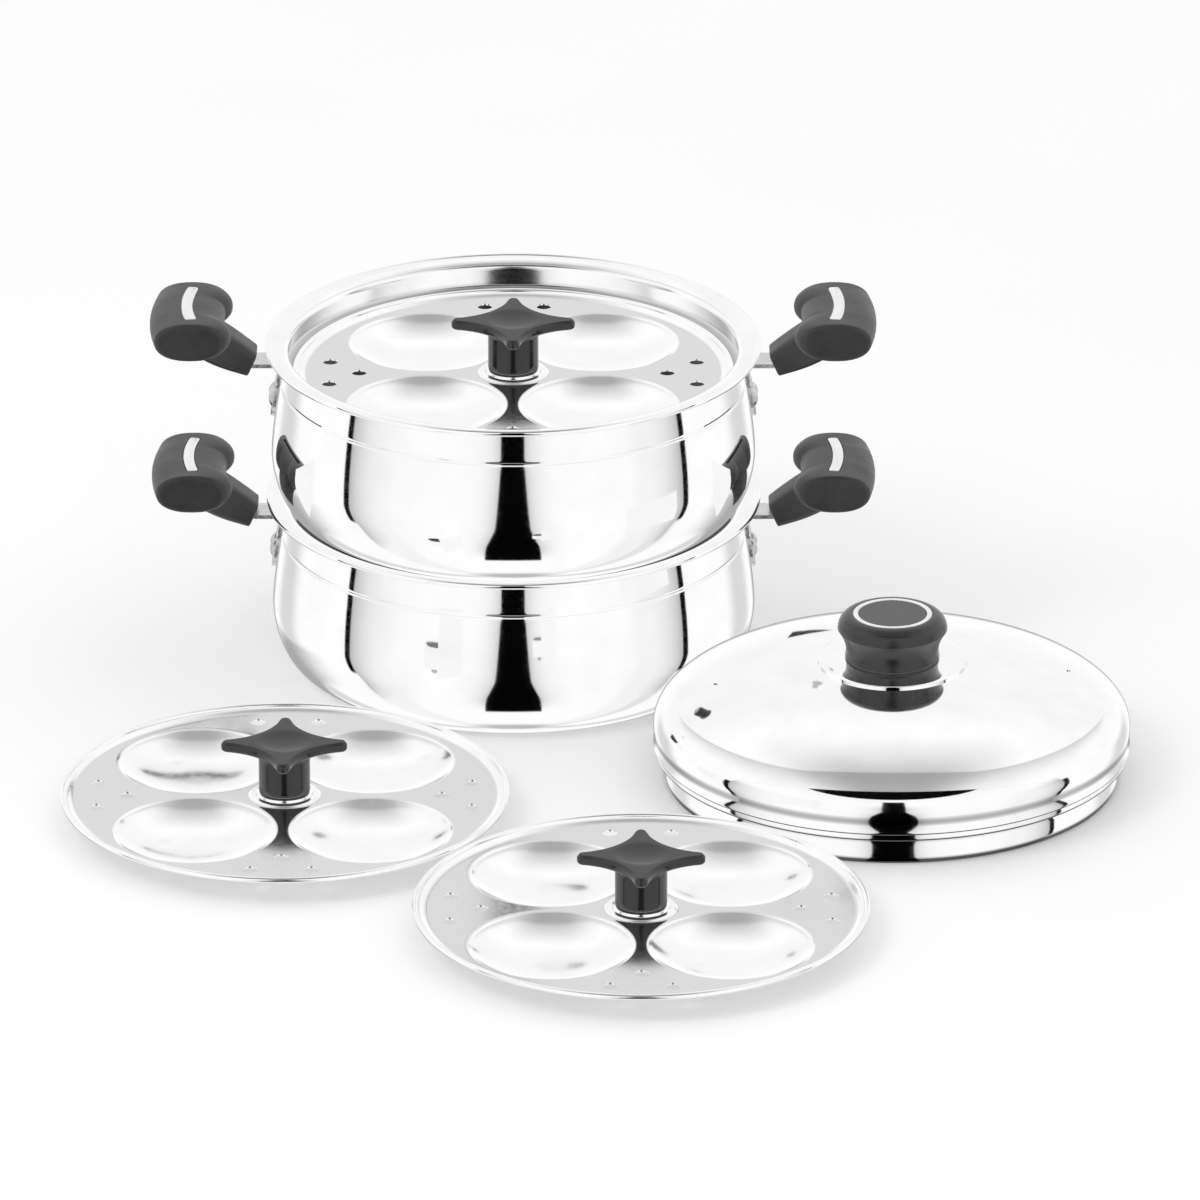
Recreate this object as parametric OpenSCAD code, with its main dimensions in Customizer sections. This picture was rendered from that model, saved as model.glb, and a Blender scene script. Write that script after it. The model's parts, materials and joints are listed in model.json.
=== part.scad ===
// Two-tier idli steamer: two stacked pots with side handles, three idli plates and a lid.
// Millimetres, +Z up. The origin is the centre of the lower pot's base.

/* [Pot] */
// Outer radius of the straight neck under the rim
neck_r = 106.6; // [101:0.1:113]
// How far the rolled rim stands out from the neck
lip_w = 9.9; // [9:0.1:13]
// How far the belly stands out from the neck
belly_w = 7.9; // [7:0.1:11]
// How far the edge of the flat base lies inside the neck's radius
base_in = 9.6; // [6:0.1:14]
// Height of one pot
pot_h = 82; // [78:0.5:95]
// Height at which the belly is widest, above its rounded corner
belly_z = 36; // [30:0.5:40]
// Thickness of the pot's sheet
wall = 0.8; // [0.6:0.05:1]
// Radius of the roll along the rim
roll_r = 1.4; // [1.2:0.05:1.8]
// Depth of the flared lip below the rim
lip_drop = 4.6; // [4:0.1:6]
// Depth of the groove that carries a plate, below the rim
groove_drop = 17.2; // [16:0.1:19]
// How far the groove is pressed inward
groove_depth = 2.9; // [2.6:0.1:3.2]
// Half of the groove's height
groove_half = 5.2; // [4.8:0.1:5.6]
// Diameter of the steam holes in the upper pot's base
steam_d = 8; // [6:0.5:10]
// Number of rings of steam holes
steam_rings = 3; // [1:1:3]
// Distance between rings of steam holes
steam_step = 24; // [20:1:25]

/* [Plate] */
// Clearance between an idli plate's edge and the inside of the neck
plate_side = 2.2; // [1.8:0.1:2.4]
// Thickness of the plate's sheet
sheet = 0.8; // [0.6:0.05:1]
// Narrowest flat web between a cavity and the plate's raised edge
cavity_edge = 0.85; // [0.5:0.05:3]
// Radius of the flat bottom of a cavity
cavity_flat_r = 9; // [5:0.5:15]
// Outer depth of a cavity
cavity_depth = 11; // [9:0.5:14]
// Narrowest web between two cavities
cavity_gap = 5.2; // [4:0.1:6]
// Width of the plate's raised edge
edge_w = 7; // [6:0.5:9]
// Radius of the roll along the plate's edge
bead_r = 1.3; // [1:0.05:1.5]
// Height of the roll's centre above the flat web
bead_rise = 1.7; // [1.4:0.1:2.5]
// Diameter of the holes in the plate
hole_d = 7.3; // [5:0.1:7.6]
// Distance from the plate's edge to the two outer holes of each group
hole_edge = 16.2; // [14:0.1:18]
// Half of the distance between the two outer holes
hole_half = 14; // [12:0.5:15]
// Distance from the plate's edge to the inner hole of each group
hole_in = 31.2; // [28:0.1:34]
// Radius of the raised centre of the plate
boss_r = 15; // [14:0.1:16]
// Height of the raised centre
boss_h = 1.2; // [0.8:0.1:1.6]

/* [Star knob] */
// Distance from the centre to a tip of the star
star_r = 29; // [26:0.5:31]
// Radius of the rounded tips
tip_r = 3.2; // [2.5:0.1:5.5]
// Distance from the centre to the waist between two tips
star_waist = 16; // [14:0.1:18]
// Thickness of the star
star_t = 5; // [4.5:0.1:7]
// Radius of the column
column_r = 11.85; // [10:0.05:12.4]
// Height of the column under the star
column_h = 19; // [14:0.5:21]
// Radius of the dish on top
dish_r = 12.4; // [10:0.1:13.5]
// Depth of the dish
dish_depth = 1.6; // [1:0.1:2]
// Outer radius of the steel washer under the column
washer_r = 13.6; // [12.8:0.1:14]
// Thickness of that washer
washer_t = 1.5; // [1:0.1:2]

/* [Screws] */
// Diameter of the knob screws
screw_d = 5; // [4:0.5:6]
// Length of the thread inside a knob
screw_in = 12; // [9:0.5:14]
// Diameter of a screw's head
screw_head_d = 10; // [9:0.5:12]
// Height of a screw's head
screw_head_h = 2.4; // [2:0.1:3]

/* [Lid] */
// How far the lid's edge bead stands out from the pot's neck
lid_over = 4.4; // [4:0.1:7]
// Height of the skirt that drops into the pot
skirt_h = 12.4; // [11:0.1:13]
// Height of the band above the skirt
band_h = 6.5; // [5:0.1:8]
// Height of the rounded edge bead
edge_h = 5.6; // [4:0.1:7]
// Height of the dome above the edge bead
dome_h = 30.5; // [24:0.5:40]
// Thickness of the lid's sheet
lid_wall = 0.8; // [0.6:0.05:1]
// Diameter of a vent hole
vent_d = 3.4; // [2.5:0.1:5]
// Distance from the lid's edge to the vent holes
vent_in = 28; // [20:0.5:40]
// Outer radius of the steel flange under the knob
flange_r = 34.4; // [30:0.1:38]
// Thickness of the flange
flange_t = 2.2; // [1.8:0.1:3]
// Radius of the knob at its widest
knob_r = 25.4; // [23:0.1:28]
// Radius of the knob's waist
knob_waist_r = 19.6; // [18:0.1:21]
// Radius of the knob's foot
knob_foot_r = 21.8; // [20.5:0.1:23]
// Height of the knob
knob_h = 25.5; // [22:0.5:30]
// Outer radius of the steel ring in the knob's top
ring_r = 18.3; // [16:0.1:19.5]
// Width of that ring
ring_w = 2.4; // [1.5:0.1:3.5]

/* [Handle] */
// Width of the bracket's arm
arm_w = 16; // [12:0.5:17]
// Thickness of the bracket
bracket_t = 2; // [1.5:0.1:2.4]
// Depth of the arm's top below the rim
arm_drop = 9; // [8:0.5:10]
// Radius of the bracket's round pad
pad_r = 10; // [9.5:0.1:11]
// Depth of the pad's lower end below the rim
pad_drop = 37; // [36:0.5:38]
// Diameter of a rivet's shank
rivet_d = 4; // [3:0.5:4.5]
// Diameter of a rivet's outer head
rivet_head_d = 8.6; // [7.5:0.1:9]
// Distance from the rim's edge to the handle's neck
neck_gap = 6; // [4:0.5:9]
// Length of the neck up to the middle of the grip
neck_len = 30.5; // [27:0.5:32]
// Rise of the neck's centre line over that length
neck_rise = 17; // [12:0.5:19]
// Width of the neck at its end
neck_w = 18; // [17.5:0.5:21]
// Thickness of the neck at its end
neck_t = 12; // [11:0.5:14]
// Length of the grip from end to end
grip_len = 58; // [50:1:70]
// Depth of the grip, away from the pot
grip_depth = 35; // [32:0.5:38]
// Thickness of the grip
grip_t = 18.6; // [17:0.1:21]
// Length of the steel inlay on the grip
inlay_len = 42; // [30:1:44]
// Width of the inlay
inlay_w = 5; // [3:0.1:7]
// Thickness of the inlay
inlay_t = 1.2; // [0.8:0.1:1.6]
// How far the middle of the inlay bows outward
inlay_bow = 2; // [0:0.1:3]

/* [Layout] */
// Direction from the pots to the plate lying at the left, in degrees
left_plate_az = -117.8; // [-125:0.1:-110]
// Direction from the pots to the lid, in degrees
lid_az = -39.9; // [-45:0.1:-38]
// Gap between the pot's rim and the left plate's edge, seen from above
left_gap = 3.8; // [2:0.1:10]
// Gap between the pot's rim and the lid's edge, seen from above
lid_gap = 1.8; // [1:0.1:10]
// Gap between the two plates on the floor
plate_gap = 2.1; // [1:0.1:10]
// Gap between the front plate and the lid
front_gap = 1.0; // [0.8:0.1:10]
// Clearance where one piece seats on or in another
seat_gap = 0.3; // [0.2:0.05:0.4]
// Clearance of shanks in their holes and of heads on their seats
snug = 0.1; // [0.05:0.01:0.15]

/* [Hidden] */
$fn = 96;
steel = "silver";
black = "#202022";

rim_r = neck_r + lip_w;
belly_r = neck_r + belly_w;
base_r = neck_r - base_in;
// The higher this power, the squarer the corner
corner_power = 2.5;
groove_z = pot_h - groove_drop;
groove_low = groove_z - groove_half;
lip_z = pot_h - lip_drop;
// The lip ends inside the roll, so that sheet and roll are one
flare_w = rim_r - 2 * roll_r + 0.5 - neck_r;
flare_h = lip_drop - roll_r;

// Outer profile of the pot, from the middle of the base to the lip
function corner_points(n) = [for (i = [0:n])
    [base_r + (belly_r - base_r) * pow(sin(90 * i / n), 2 / corner_power),
        belly_z * (1 - pow(cos(90 * i / n), 2 / corner_power))]];
function belly_radius(z) = neck_r
    + belly_w * cos(90 * min(1, max(0, (z - belly_z) / (groove_low - belly_z))));
function belly_points(n) = [for (i = [1:n])
    let (z = belly_z + (groove_low - belly_z) * i / n) [belly_radius(z), z]];
function groove_radius(u) = neck_r - groove_depth * (1 + cos(180 * u)) / 2;
function groove_points(n) = [for (i = [1:n])
    let (u = -1 + 2 * i / n) [groove_radius(u), groove_z + groove_half * u]];
function lip_points(n) = [for (i = [0:n])
    [neck_r + flare_w * (1 - cos(90 * i / n)), lip_z + flare_h * sin(90 * i / n)]];
pot_outer = concat([[0, 0]], corner_points(18), belly_points(14), groove_points(18), lip_points(8));

// Points moved to the left of the direction in which they run
function inset(points, d) = [for (i = [0:len(points) - 1])
    let (
        a = points[max(0, i - 1)],
        b = points[min(len(points) - 1, i + 1)],
        run = b - a
    )
    points[i] + d * [-run[1], run[0]] / norm(run)];
function arc_points(c, r, from, to, n) = [for (i = [0:n])
    let (a = from + (to - from) * i / n) c + r * [cos(a), sin(a)]];
function reversed(points) = [for (i = [len(points) - 1:-1:0]) points[i]];
function shell(points, d) = concat(points, reversed(inset(points, d)));
pot_inner = inset(pot_outer, wall);

// Height on the rounded corner at which the pot reaches the radius r
function corner_part(r) = min(1, max(0, (r - base_r) / (belly_r - base_r)));
function corner_height(r) = r <= base_r ? 0
    : belly_z * (1 - pow(1 - pow(corner_part(r), corner_power), 1 / corner_power));
// How far the upper pot sinks into the lower pot's mouth before the two meet
mouth = [for (p = pot_inner) if (p[1] > groove_z + groove_half) p];
sink = min([for (p = mouth) pot_h - p[1] + corner_height(p[0] - seat_gap)]) - seat_gap;
upper_z = pot_h - sink;

// Radii of the plate's parts, and their heights above the underside of its cavities.
// Four cavities side by side, with their webs, fill the flat part of the plate.
plate_r = neck_r - wall - plate_side;
flat_r = plate_r - edge_w;
cavity_r = (flat_r - cavity_edge - sheet - cavity_gap / sqrt(2)) / (1 + sqrt(2));
hole_ring_r = plate_r - hole_edge;
hole_in_r = plate_r - hole_in;
web_z = cavity_depth;
bead_z = web_z + bead_rise;
bead_c = plate_r - bead_r;
// Height of the roll's centre when a plate lies on the groove inside the upper pot
seat_reach = bead_r + seat_gap;
plate_seat = max([for (p = pot_inner)
    if (abs(p[0] - bead_c) < seat_reach && p[1] > groove_low && p[1] < lip_z)
        p[1] + sqrt(pow(seat_reach, 2) - pow(p[0] - bead_c, 2))]);
upper_plate_z = upper_z + plate_seat - bead_z;
cavity_off = cavity_r + cavity_gap / 2;

knob_z = web_z + boss_h + snug;
star_tip_c = star_r - tip_r;
star_cut_c = (pow(star_tip_c, 2) - pow(star_waist - tip_r, 2))
    / (sqrt(2) * star_tip_c - 2 * (star_waist - tip_r));
dish_sphere = (pow(dish_r, 2) + pow(dish_depth, 2)) / (2 * dish_depth);

// The lid's skirt clears the pot's neck, and the step above it comes down on the lip
lid_r = neck_r + lid_over;
vent_r = lid_r - vent_in;
skirt_r = neck_r - wall - 2 * seat_gap;
band_r = lid_r - 1.4;
edge_z = skirt_h + band_h;
dome_z = edge_z + edge_h;
dome_r = lid_r - 1;
// The lower this power, the fuller the dome's shoulder
dome_power = 0.72;
function dome_height(r) = dome_z + dome_h * pow(1 - pow(r / dome_r, 2), dome_power);
dome_flat_r = 16;
vent_az = 5.6;
lid_top = dome_height(dome_flat_r);
knob_base = lid_top + snug + flange_t;
ring_in = 1.4;
lid_washer_t = 1;
lid_under = lid_top - lid_wall - snug - lid_washer_t;

// Places on the floor: the left plate and the lid stand off the pot's rim,
// and the front plate stands off the left plate and the lid
left_pos = (rim_r + plate_r + left_gap) * [cos(left_plate_az), sin(left_plate_az)];
lid_pos = (rim_r + lid_r + lid_gap) * [cos(lid_az), sin(lid_az)];
to_left = 2 * plate_r + plate_gap;
to_lid = plate_r + lid_r + front_gap;
between = norm(lid_pos - left_pos);
along = (pow(to_left, 2) - pow(to_lid, 2) + pow(between, 2)) / (2 * between);
aside = sqrt(pow(to_left, 2) - pow(along, 2));
unit = (lid_pos - left_pos) / between;
front_pos = left_pos + along * unit + aside * [unit[1], -unit[0]];

// Handle: the neck's end, the middle of the grip and the slope between them
arm_top = pot_h - arm_drop;
neck_x = rim_r + neck_gap;
neck_z = arm_top - bracket_t / 2;
grip_out = neck_x + neck_len + grip_depth / 2;
grip_x = grip_out - grip_depth / 2;
grip_lift = 2.6;
grip_z = neck_z + neck_rise + grip_lift;
grip_top = grip_z + grip_t / 2;

// Bracket: slope of the arm's end, its length in the grip and the radius of the bend under the lip
arm_tilt = 24;
arm_in = 14;
arm_play = 0.6;
bend_r = 3;
bend_c = [neck_r + snug + bend_r, arm_top - bend_r];

// Rivets sit side by side in the middle of the pad, and the screw crosses the arm inside the grip
rivet_z = pot_h - pad_drop + pad_r;
rivet_half = 4.8;
rivet_az = asin(rivet_half / belly_r);
rivet_cap = 2.2;
rivet_seat = bracket_t + 0.95;
handle_screw_d = 4;
handle_screw_head = 7;
handle_screw_head_h = 2.4;
handle_screw_s = 8;
head_z = 1.5 - neck_t / 2;

// Grip: rounding of its end edges, hooks beside the neck and bulge of its outer side
end_round = 1.6;
hook = 3.5;
bulge = 3.1;
// Neck of the grip: widening and swelling on its way into the grip
neck_spread = 12;
neck_swell = 3;

// Placing
module on_side(side) {
    mirror([side < 0 ? 1 : 0, 0, 0]) children();
}
module each_side() {
    for (side = [-1, 1]) on_side(side) children();
}
module raised() {
    translate([0, 0, upper_z]) children();
}
module in_pot() {
    translate([0, 0, upper_plate_z]) children();
}
module at_left() {
    translate([left_pos[0], left_pos[1], 0]) children();
}
module at_front() {
    translate([front_pos[0], front_pos[1], 0]) children();
}
module at_lid() {
    translate([lid_pos[0], lid_pos[1], 0]) children();
}
// Along the outward normal of the pad, at each rivet of the handle on the +X side
module each_rivet() {
    slope = atan2(belly_radius(rivet_z - 1) - belly_radius(rivet_z + 1), 2);
    for (az = [-rivet_az, rivet_az])
        rotate([0, 0, az]) translate([belly_radius(rivet_z), 0, rivet_z])
            rotate([0, 90 - slope, 0]) children();
}
// Along the sloping end of the bracket's arm, and across it where the handle's screw passes
module at_arm() {
    translate([neck_x, 0, neck_z]) rotate([0, -arm_tilt, 0]) children();
}
module at_handle_screw() {
    at_arm() translate([handle_screw_s, 0, 0]) children();
}
// Hole with clearance through a sheet
module drill(d) {
    cylinder(d = d + 2 * snug, h = 10, center = true, $fn = 32);
}

// Pots
module pot_body() {
    rotate_extrude() polygon(shell(pot_outer, wall));
    rotate_extrude() translate([rim_r - roll_r, pot_h - roll_r]) circle(roll_r, $fn = 32);
}
module pot_rivet_holes() {
    each_side() each_rivet() drill(rivet_d);
}
module plain_pot() {
    difference() {
        pot_body();
        pot_rivet_holes();
    }
}
module steaming_pot() {
    difference() {
        pot_body();
        pot_rivet_holes();
        for (ring = [1:steam_rings])
            for (i = [0:6 * ring - 1])
                rotate([0, 0, 360 * i / (6 * ring)]) translate([ring * steam_step, 0, -1])
                    cylinder(d = steam_d, h = wall + 2, $fn = 32);
    }
}

// Bracket: a bent strip that follows the belly from a round pad, then turns out under the lip
function bend_points(r) = [for (i = [0:6]) bend_c + r * [-cos(15 * i), sin(15 * i)]];
function elbow(d) = [neck_x - d * tan(arm_tilt / 2), neck_z + d];
function arm_end(d) = [neck_x, neck_z] + (arm_in - arm_play) * [cos(arm_tilt), sin(arm_tilt)]
    + d * [-sin(arm_tilt), cos(arm_tilt)];
module bracket() {
    low = pot_h - pad_drop - 2;
    half = bracket_t / 2;
    up = [for (i = [0:10]) let (z = low + (groove_low - low) * i / 10) [belly_radius(z) + snug, z]];
    strip = concat(
        up,
        bend_points(bend_r),
        [elbow(half), arm_end(half), arm_end(-half), elbow(-half)],
        reversed(bend_points(bend_r - bracket_t)),
        reversed(inset(up, -bracket_t))
    );
    difference() {
        intersection() {
            rotate([90, 0, 0]) linear_extrude(2 * pad_r + 2, center = true) polygon(strip);
            translate([neck_r - 2 * bend_r, 0, 0]) rotate([90, 0, 90])
                linear_extrude(lip_w + 2 * bend_r + neck_gap + arm_in) pad_outline();
        }
        each_rivet() drill(rivet_d);
        at_handle_screw() drill(handle_screw_d);
    }
}
module pad_outline() {
    translate([0, rivet_z]) circle(pad_r, $fn = 64);
    translate([-arm_w / 2, rivet_z]) square([arm_w, pot_h]);
}
module rivet() {
    head = rivet_head_d;
    ball = (pow(head / 2, 2) + pow(rivet_cap, 2)) / (2 * rivet_cap);
    intersection() {
        translate([0, 0, rivet_seat + rivet_cap - ball]) sphere(ball, $fn = 48);
        translate([0, 0, rivet_seat]) cylinder(d = head, h = rivet_cap, $fn = 48);
    }
    inside = wall + 3 * snug;
    translate([0, 0, -inside - 0.5]) cylinder(d = rivet_d, h = inside + rivet_seat + 1, $fn = 32);
    translate([0, 0, -inside - 1]) cylinder(d = head - 1, h = 1, $fn = 48);
}

// Grip: a lofted bar across the handle, with flat oval ends and drawn-in sides at the neck
function oval(n, e) = [for (i = [0:n - 1])
    let (c = cos(360 * i / n), s = sin(360 * i / n))
    [sign(c) * pow(abs(c), 2 / e), sign(s) * pow(abs(s), 2 / e)]];
function grip_ring(v) =
    let (
        half = grip_len / 2,
        past = max(0, abs(v) - half + end_round) / end_round,
        cut = end_round * (1 - sqrt(1 - past * past)),
        drawn = hook * max(0, 1 - pow((abs(v) - 0.7 * half) / (0.3 * half), 2)),
        out = grip_out - bulge * pow(v / half, 2) - cut,
        in = grip_out - grip_depth - drawn + cut,
        deep = (out - in) / 2,
        thick = grip_t / 2 - cut
    )
    [for (p = oval(28, 2.3)) [(out + in) / 2 + deep * p[0], v, grip_z + thick * p[1]]];
function neck_ring(t) =
    let (
        wide = neck_w / 2 + neck_spread * t * t,
        thick = neck_t / 2 + neck_swell * sin(150 * t),
        lean = arm_tilt * (1 - t)
    )
    [for (p = oval(28, 5 - 2.2 * t))
        [neck_x + neck_len * t - thick * p[1] * sin(lean), -wide * p[0],
            neck_z + neck_rise * t + thick * p[1] * cos(lean)]];
module loft(rings) {
    n = len(rings[0]);
    last = len(rings) - 1;
    points = [for (ring = rings) each ring];
    sides = [for (k = [0:last - 1], i = [0:n - 1])
        [k * n + i, k * n + (i + 1) % n, (k + 1) * n + (i + 1) % n, (k + 1) * n + i]];
    start = [[for (i = [n - 1:-1:0]) i]];
    end = [[for (i = [0:n - 1]) last * n + i]];
    polyhedron(points, concat(sides, start, end), convexity = 4);
}
module grip() {
    half = grip_len / 2;
    stations = concat(
        [-half, -half + end_round * 0.15, -half + end_round * 0.5],
        [for (i = [0:14]) (half - end_round * 1.1) * (i / 7 - 1)],
        [half - end_round * 0.5, half - end_round * 0.15, half]
    );
    difference() {
        union() {
            loft([for (v = stations) grip_ring(v)]);
            loft([for (i = [0:7]) neck_ring(i / 7)]);
        }
        at_arm() translate([-2, -arm_w / 2 - snug, -bracket_t / 2 - snug])
            cube([arm_in + 2, arm_w + 2 * snug, bracket_t + 2 * snug]);
        at_handle_screw() {
            drill(handle_screw_d);
            translate([0, 0, head_z - 2 * neck_t])
                cylinder(d = handle_screw_head + 6 * snug, h = 2 * neck_t, $fn = 32);
        }
        translate([0, 0, grip_top - inlay_t]) linear_extrude(inlay_t + 2) inlay_outline(snug);
    }
}
module inlay_outline(grow) {
    flat = (inlay_len - inlay_w) / 2;
    half = inlay_w / 2 + grow;
    middle = [for (i = [-6:6]) [grip_x - inlay_bow * pow(i / 6, 2), flat * i / 6]];
    turn = atan2(middle[11][0] - middle[12][0], middle[12][1] - middle[11][1]);
    polygon(concat(
        inset(middle, -half),
        arc_points(middle[12], half, turn + 15, turn + 165, 10),
        reversed(inset(middle, half)),
        arc_points(middle[0], half, 195 - turn, 345 - turn, 10)
    ));
}
module inlay() {
    translate([0, 0, grip_top - inlay_t]) linear_extrude(inlay_t + 0.15) inlay_outline(0);
}
module handle_screw() {
    at_handle_screw() {
        translate([0, 0, head_z - 1]) cylinder(d = handle_screw_d, h = 4 - head_z, $fn = 32);
        translate([0, 0, head_z - snug - handle_screw_head_h])
            cylinder(d = handle_screw_head, h = handle_screw_head_h, $fn = 32);
    }
}

// Idli plate, drawn with the underside of its cavities at the floor
module plate() {
    top = concat(
        [[0, web_z + boss_h], [boss_r, web_z + boss_h], [boss_r + 1.6, web_z]],
        [for (i = [0:8]) let (t = i / 8)
            [flat_r + (edge_w - 2 * bead_r) * t, web_z + bead_rise * (1 - cos(180 * t)) / 2]],
        [[bead_c, bead_z]]
    );
    difference() {
        union() {
            rotate_extrude() polygon(shell(top, -sheet));
            translate([0, 0, bead_z]) rotate_extrude() translate([bead_c, 0]) circle(bead_r, $fn = 24);
        }
        each_cavity() translate([0, 0, web_z - 5]) cylinder(r = cavity_r + sheet / 2, h = 10);
        plate_holes();
        translate([0, 0, web_z]) drill(screw_d);
    }
    each_cavity() cavity();
}
module each_cavity() {
    for (x = [-1, 1]) for (y = [-1, 1]) translate([x * cavity_off, y * cavity_off, 0]) children();
}
// Side of a cavity from its flat bottom at the height low to its mouth of radius r, level with the web
function bowl_points(r, low) = [for (i = [0:14]) let (a = 90 * i / 14)
    [cavity_flat_r + (r - cavity_flat_r) * sin(a), low + (web_z - low) * (1 - pow(cos(a), 0.85))]];
module cavity() {
    outside = bowl_points(cavity_r + sheet, 0);
    inside = bowl_points(cavity_r, sheet);
    rotate_extrude() polygon(concat([[0, 0]], outside, reversed(inside), [[0, sheet]]));
}
module plate_holes() {
    out = sqrt(pow(hole_ring_r, 2) - pow(hole_half, 2));
    for (turn = [0:3]) rotate([0, 0, 90 * turn])
        for (p = [[out, -hole_half], [out, hole_half], [hole_in_r, 0]])
            translate([p[0], p[1], web_z - 5]) cylinder(d = hole_d, h = 10, $fn = 48);
}
// Star outline: a round tip, then a hollow side that runs smoothly into the next tip, four times over
module star_outline() {
    cut_r = star_cut_c - star_waist;
    cut = star_cut_c * [cos(45), sin(45)];
    lean = atan2(cut[1], cut[0] - star_tip_c);
    tip = arc_points([star_tip_c, 0], tip_r, -lean, lean, 12);
    side = arc_points(cut, cut_r, 180 + lean, 270 - lean, 14);
    quarter = concat(tip, [for (i = [1:13]) side[i]]);
    polygon([for (turn = [0:3]) for (p = quarter)
        let (c = cos(90 * turn), s = sin(90 * turn)) [c * p[0] - s * p[1], s * p[0] + c * p[1]]]);
}
module star_knob() {
    foot = washer_t + snug;
    star_z = foot + column_h;
    star_h = star_t + 0.3;
    flare_r = star_waist - 0.3;
    translate([0, 0, knob_z]) difference() {
        union() {
            rotate_extrude($fn = 64) polygon([[0, foot], [column_r, foot], [column_r, star_z - 3],
                [flare_r, star_z + 0.5], [0, star_z + 0.5]]);
            intersection() {
                translate([0, 0, star_z]) linear_extrude(star_t) star_outline();
                translate([0, 0, star_z - 0.1]) cylinder(r1 = star_r - 3, r2 = star_r + 3.4, h = star_h);
                translate([0, 0, star_z - 0.2]) cylinder(r1 = star_r + 7, r2 = star_r - 0.8, h = star_h);
            }
        }
        translate([0, 0, star_z + star_t + dish_sphere - dish_depth]) sphere(dish_sphere);
        translate([0, 0, foot - 1]) cylinder(d = screw_d + 2 * snug, h = screw_in + 2, $fn = 32);
    }
}
module knob_washer() {
    bevel = 0.4;
    translate([0, 0, knob_z]) difference() {
        rotate_extrude($fn = 64) polygon([[0, 0], [washer_r, 0], [washer_r, washer_t - bevel],
            [washer_r - bevel, washer_t], [0, washer_t]]);
        drill(screw_d);
    }
}
// Screw with its head under the height given, and its thread reaching up from there
module knob_screw(under, reach) {
    translate([0, 0, under - screw_head_h])
        cylinder(d1 = screw_head_d - 2, d2 = screw_head_d, h = screw_head_h, $fn = 48);
    translate([0, 0, under - 1]) cylinder(d = screw_d, h = reach + 1, $fn = 32);
}
module plate_screw() {
    under = web_z + boss_h - sheet - snug;
    knob_screw(under, knob_z + washer_t + screw_in - under - 1);
}

// Lid, drawn standing on its skirt
module lid_shell() {
    outer = concat(
        [[skirt_r - 0.8, 0], [skirt_r - 0.2, 1], [skirt_r, 3], [skirt_r, skirt_h - 1]],
        [[skirt_r + 0.3, skirt_h - 0.3], [skirt_r + 1, skirt_h], [band_r - 0.6, skirt_h + 0.3]],
        [[band_r, skirt_h + 1], [band_r, edge_z]],
        [for (i = [1:8]) let (a = 180 * i / 8)
            [band_r + (lid_r - band_r) * (1 - cos(2 * a)) / 2, edge_z + edge_h * i / 8]],
        [for (i = [0:22]) let (a = 90 * i / 22, r = dome_flat_r + (dome_r - 0.6 - dome_flat_r) * cos(a))
            [r, dome_height(r)]],
        [[0, lid_top]]
    );
    difference() {
        rotate_extrude() polygon(shell(outer, lid_wall));
        for (side = [0, 180]) rotate([0, 0, vent_az + side]) translate([vent_r, 0, dome_z])
            cylinder(d = vent_d, h = dome_h, $fn = 32);
        translate([0, 0, lid_top]) drill(screw_d);
    }
}
module lid_flange() {
    under = [for (i = [0:6]) let (r = flange_r - (flange_r - dome_flat_r) * i / 6)
        [r, dome_height(r) + snug]];
    edge = dome_height(flange_r) + snug;
    top = lid_top + snug + flange_t;
    rise = top - edge - 1.6;
    cover = [for (i = [0:8]) let (t = i / 8)
        [knob_foot_r - 2 + (flange_r - knob_foot_r + 2) * sin(90 * t), top - rise * (1 - cos(90 * t))]];
    difference() {
        rotate_extrude() polygon(concat(under, [[0, lid_top + snug], [0, top]], cover));
        translate([0, 0, lid_top]) drill(screw_d);
    }
}
module lid_knob() {
    wide_z = 0.66 * knob_h;
    side = [for (i = [0:12]) let (t = i / 12)
        [knob_waist_r + (knob_foot_r - knob_waist_r) * pow(1 - t, 2)
            + (knob_r - knob_waist_r) * pow(t, 1.6), 1.2 + (wide_z - 1.2) * t]];
    crown = [for (i = [1:10]) let (a = 90 * i / 10)
        [knob_r - (knob_r - ring_r - 0.6) * (1 - cos(a)), wide_z + (knob_h - wide_z) * sin(a)]];
    translate([0, 0, knob_base + snug]) difference() {
        rotate_extrude() polygon(concat([[0, 0], [knob_foot_r - 0.6, 0], [knob_foot_r, 0.6]], side, crown,
            [[0, knob_h]]));
        translate([0, 0, knob_h - ring_in]) difference() {
            cylinder(r = ring_r + snug, h = 3, $fn = 64);
            translate([0, 0, -1]) cylinder(r = ring_r - ring_w - snug, h = 5, $fn = 64);
        }
        translate([0, 0, -1]) cylinder(d = screw_d + 2 * snug, h = screw_in + 2, $fn = 32);
    }
}
module lid_knob_ring() {
    translate([0, 0, knob_base + knob_h - ring_in + 2 * snug]) difference() {
        cylinder(r = ring_r, h = ring_in + 0.2, $fn = 64);
        translate([0, 0, -1]) cylinder(r = ring_r - ring_w, h = 4, $fn = 64);
    }
}
module lid_washer() {
    translate([0, 0, lid_under]) difference() {
        cylinder(r = 8, h = lid_washer_t, $fn = 48);
        drill(screw_d);
    }
}
module lid_screw() {
    under = lid_under - snug;
    knob_screw(under, knob_base + screw_in - under - 1);
}

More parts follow.
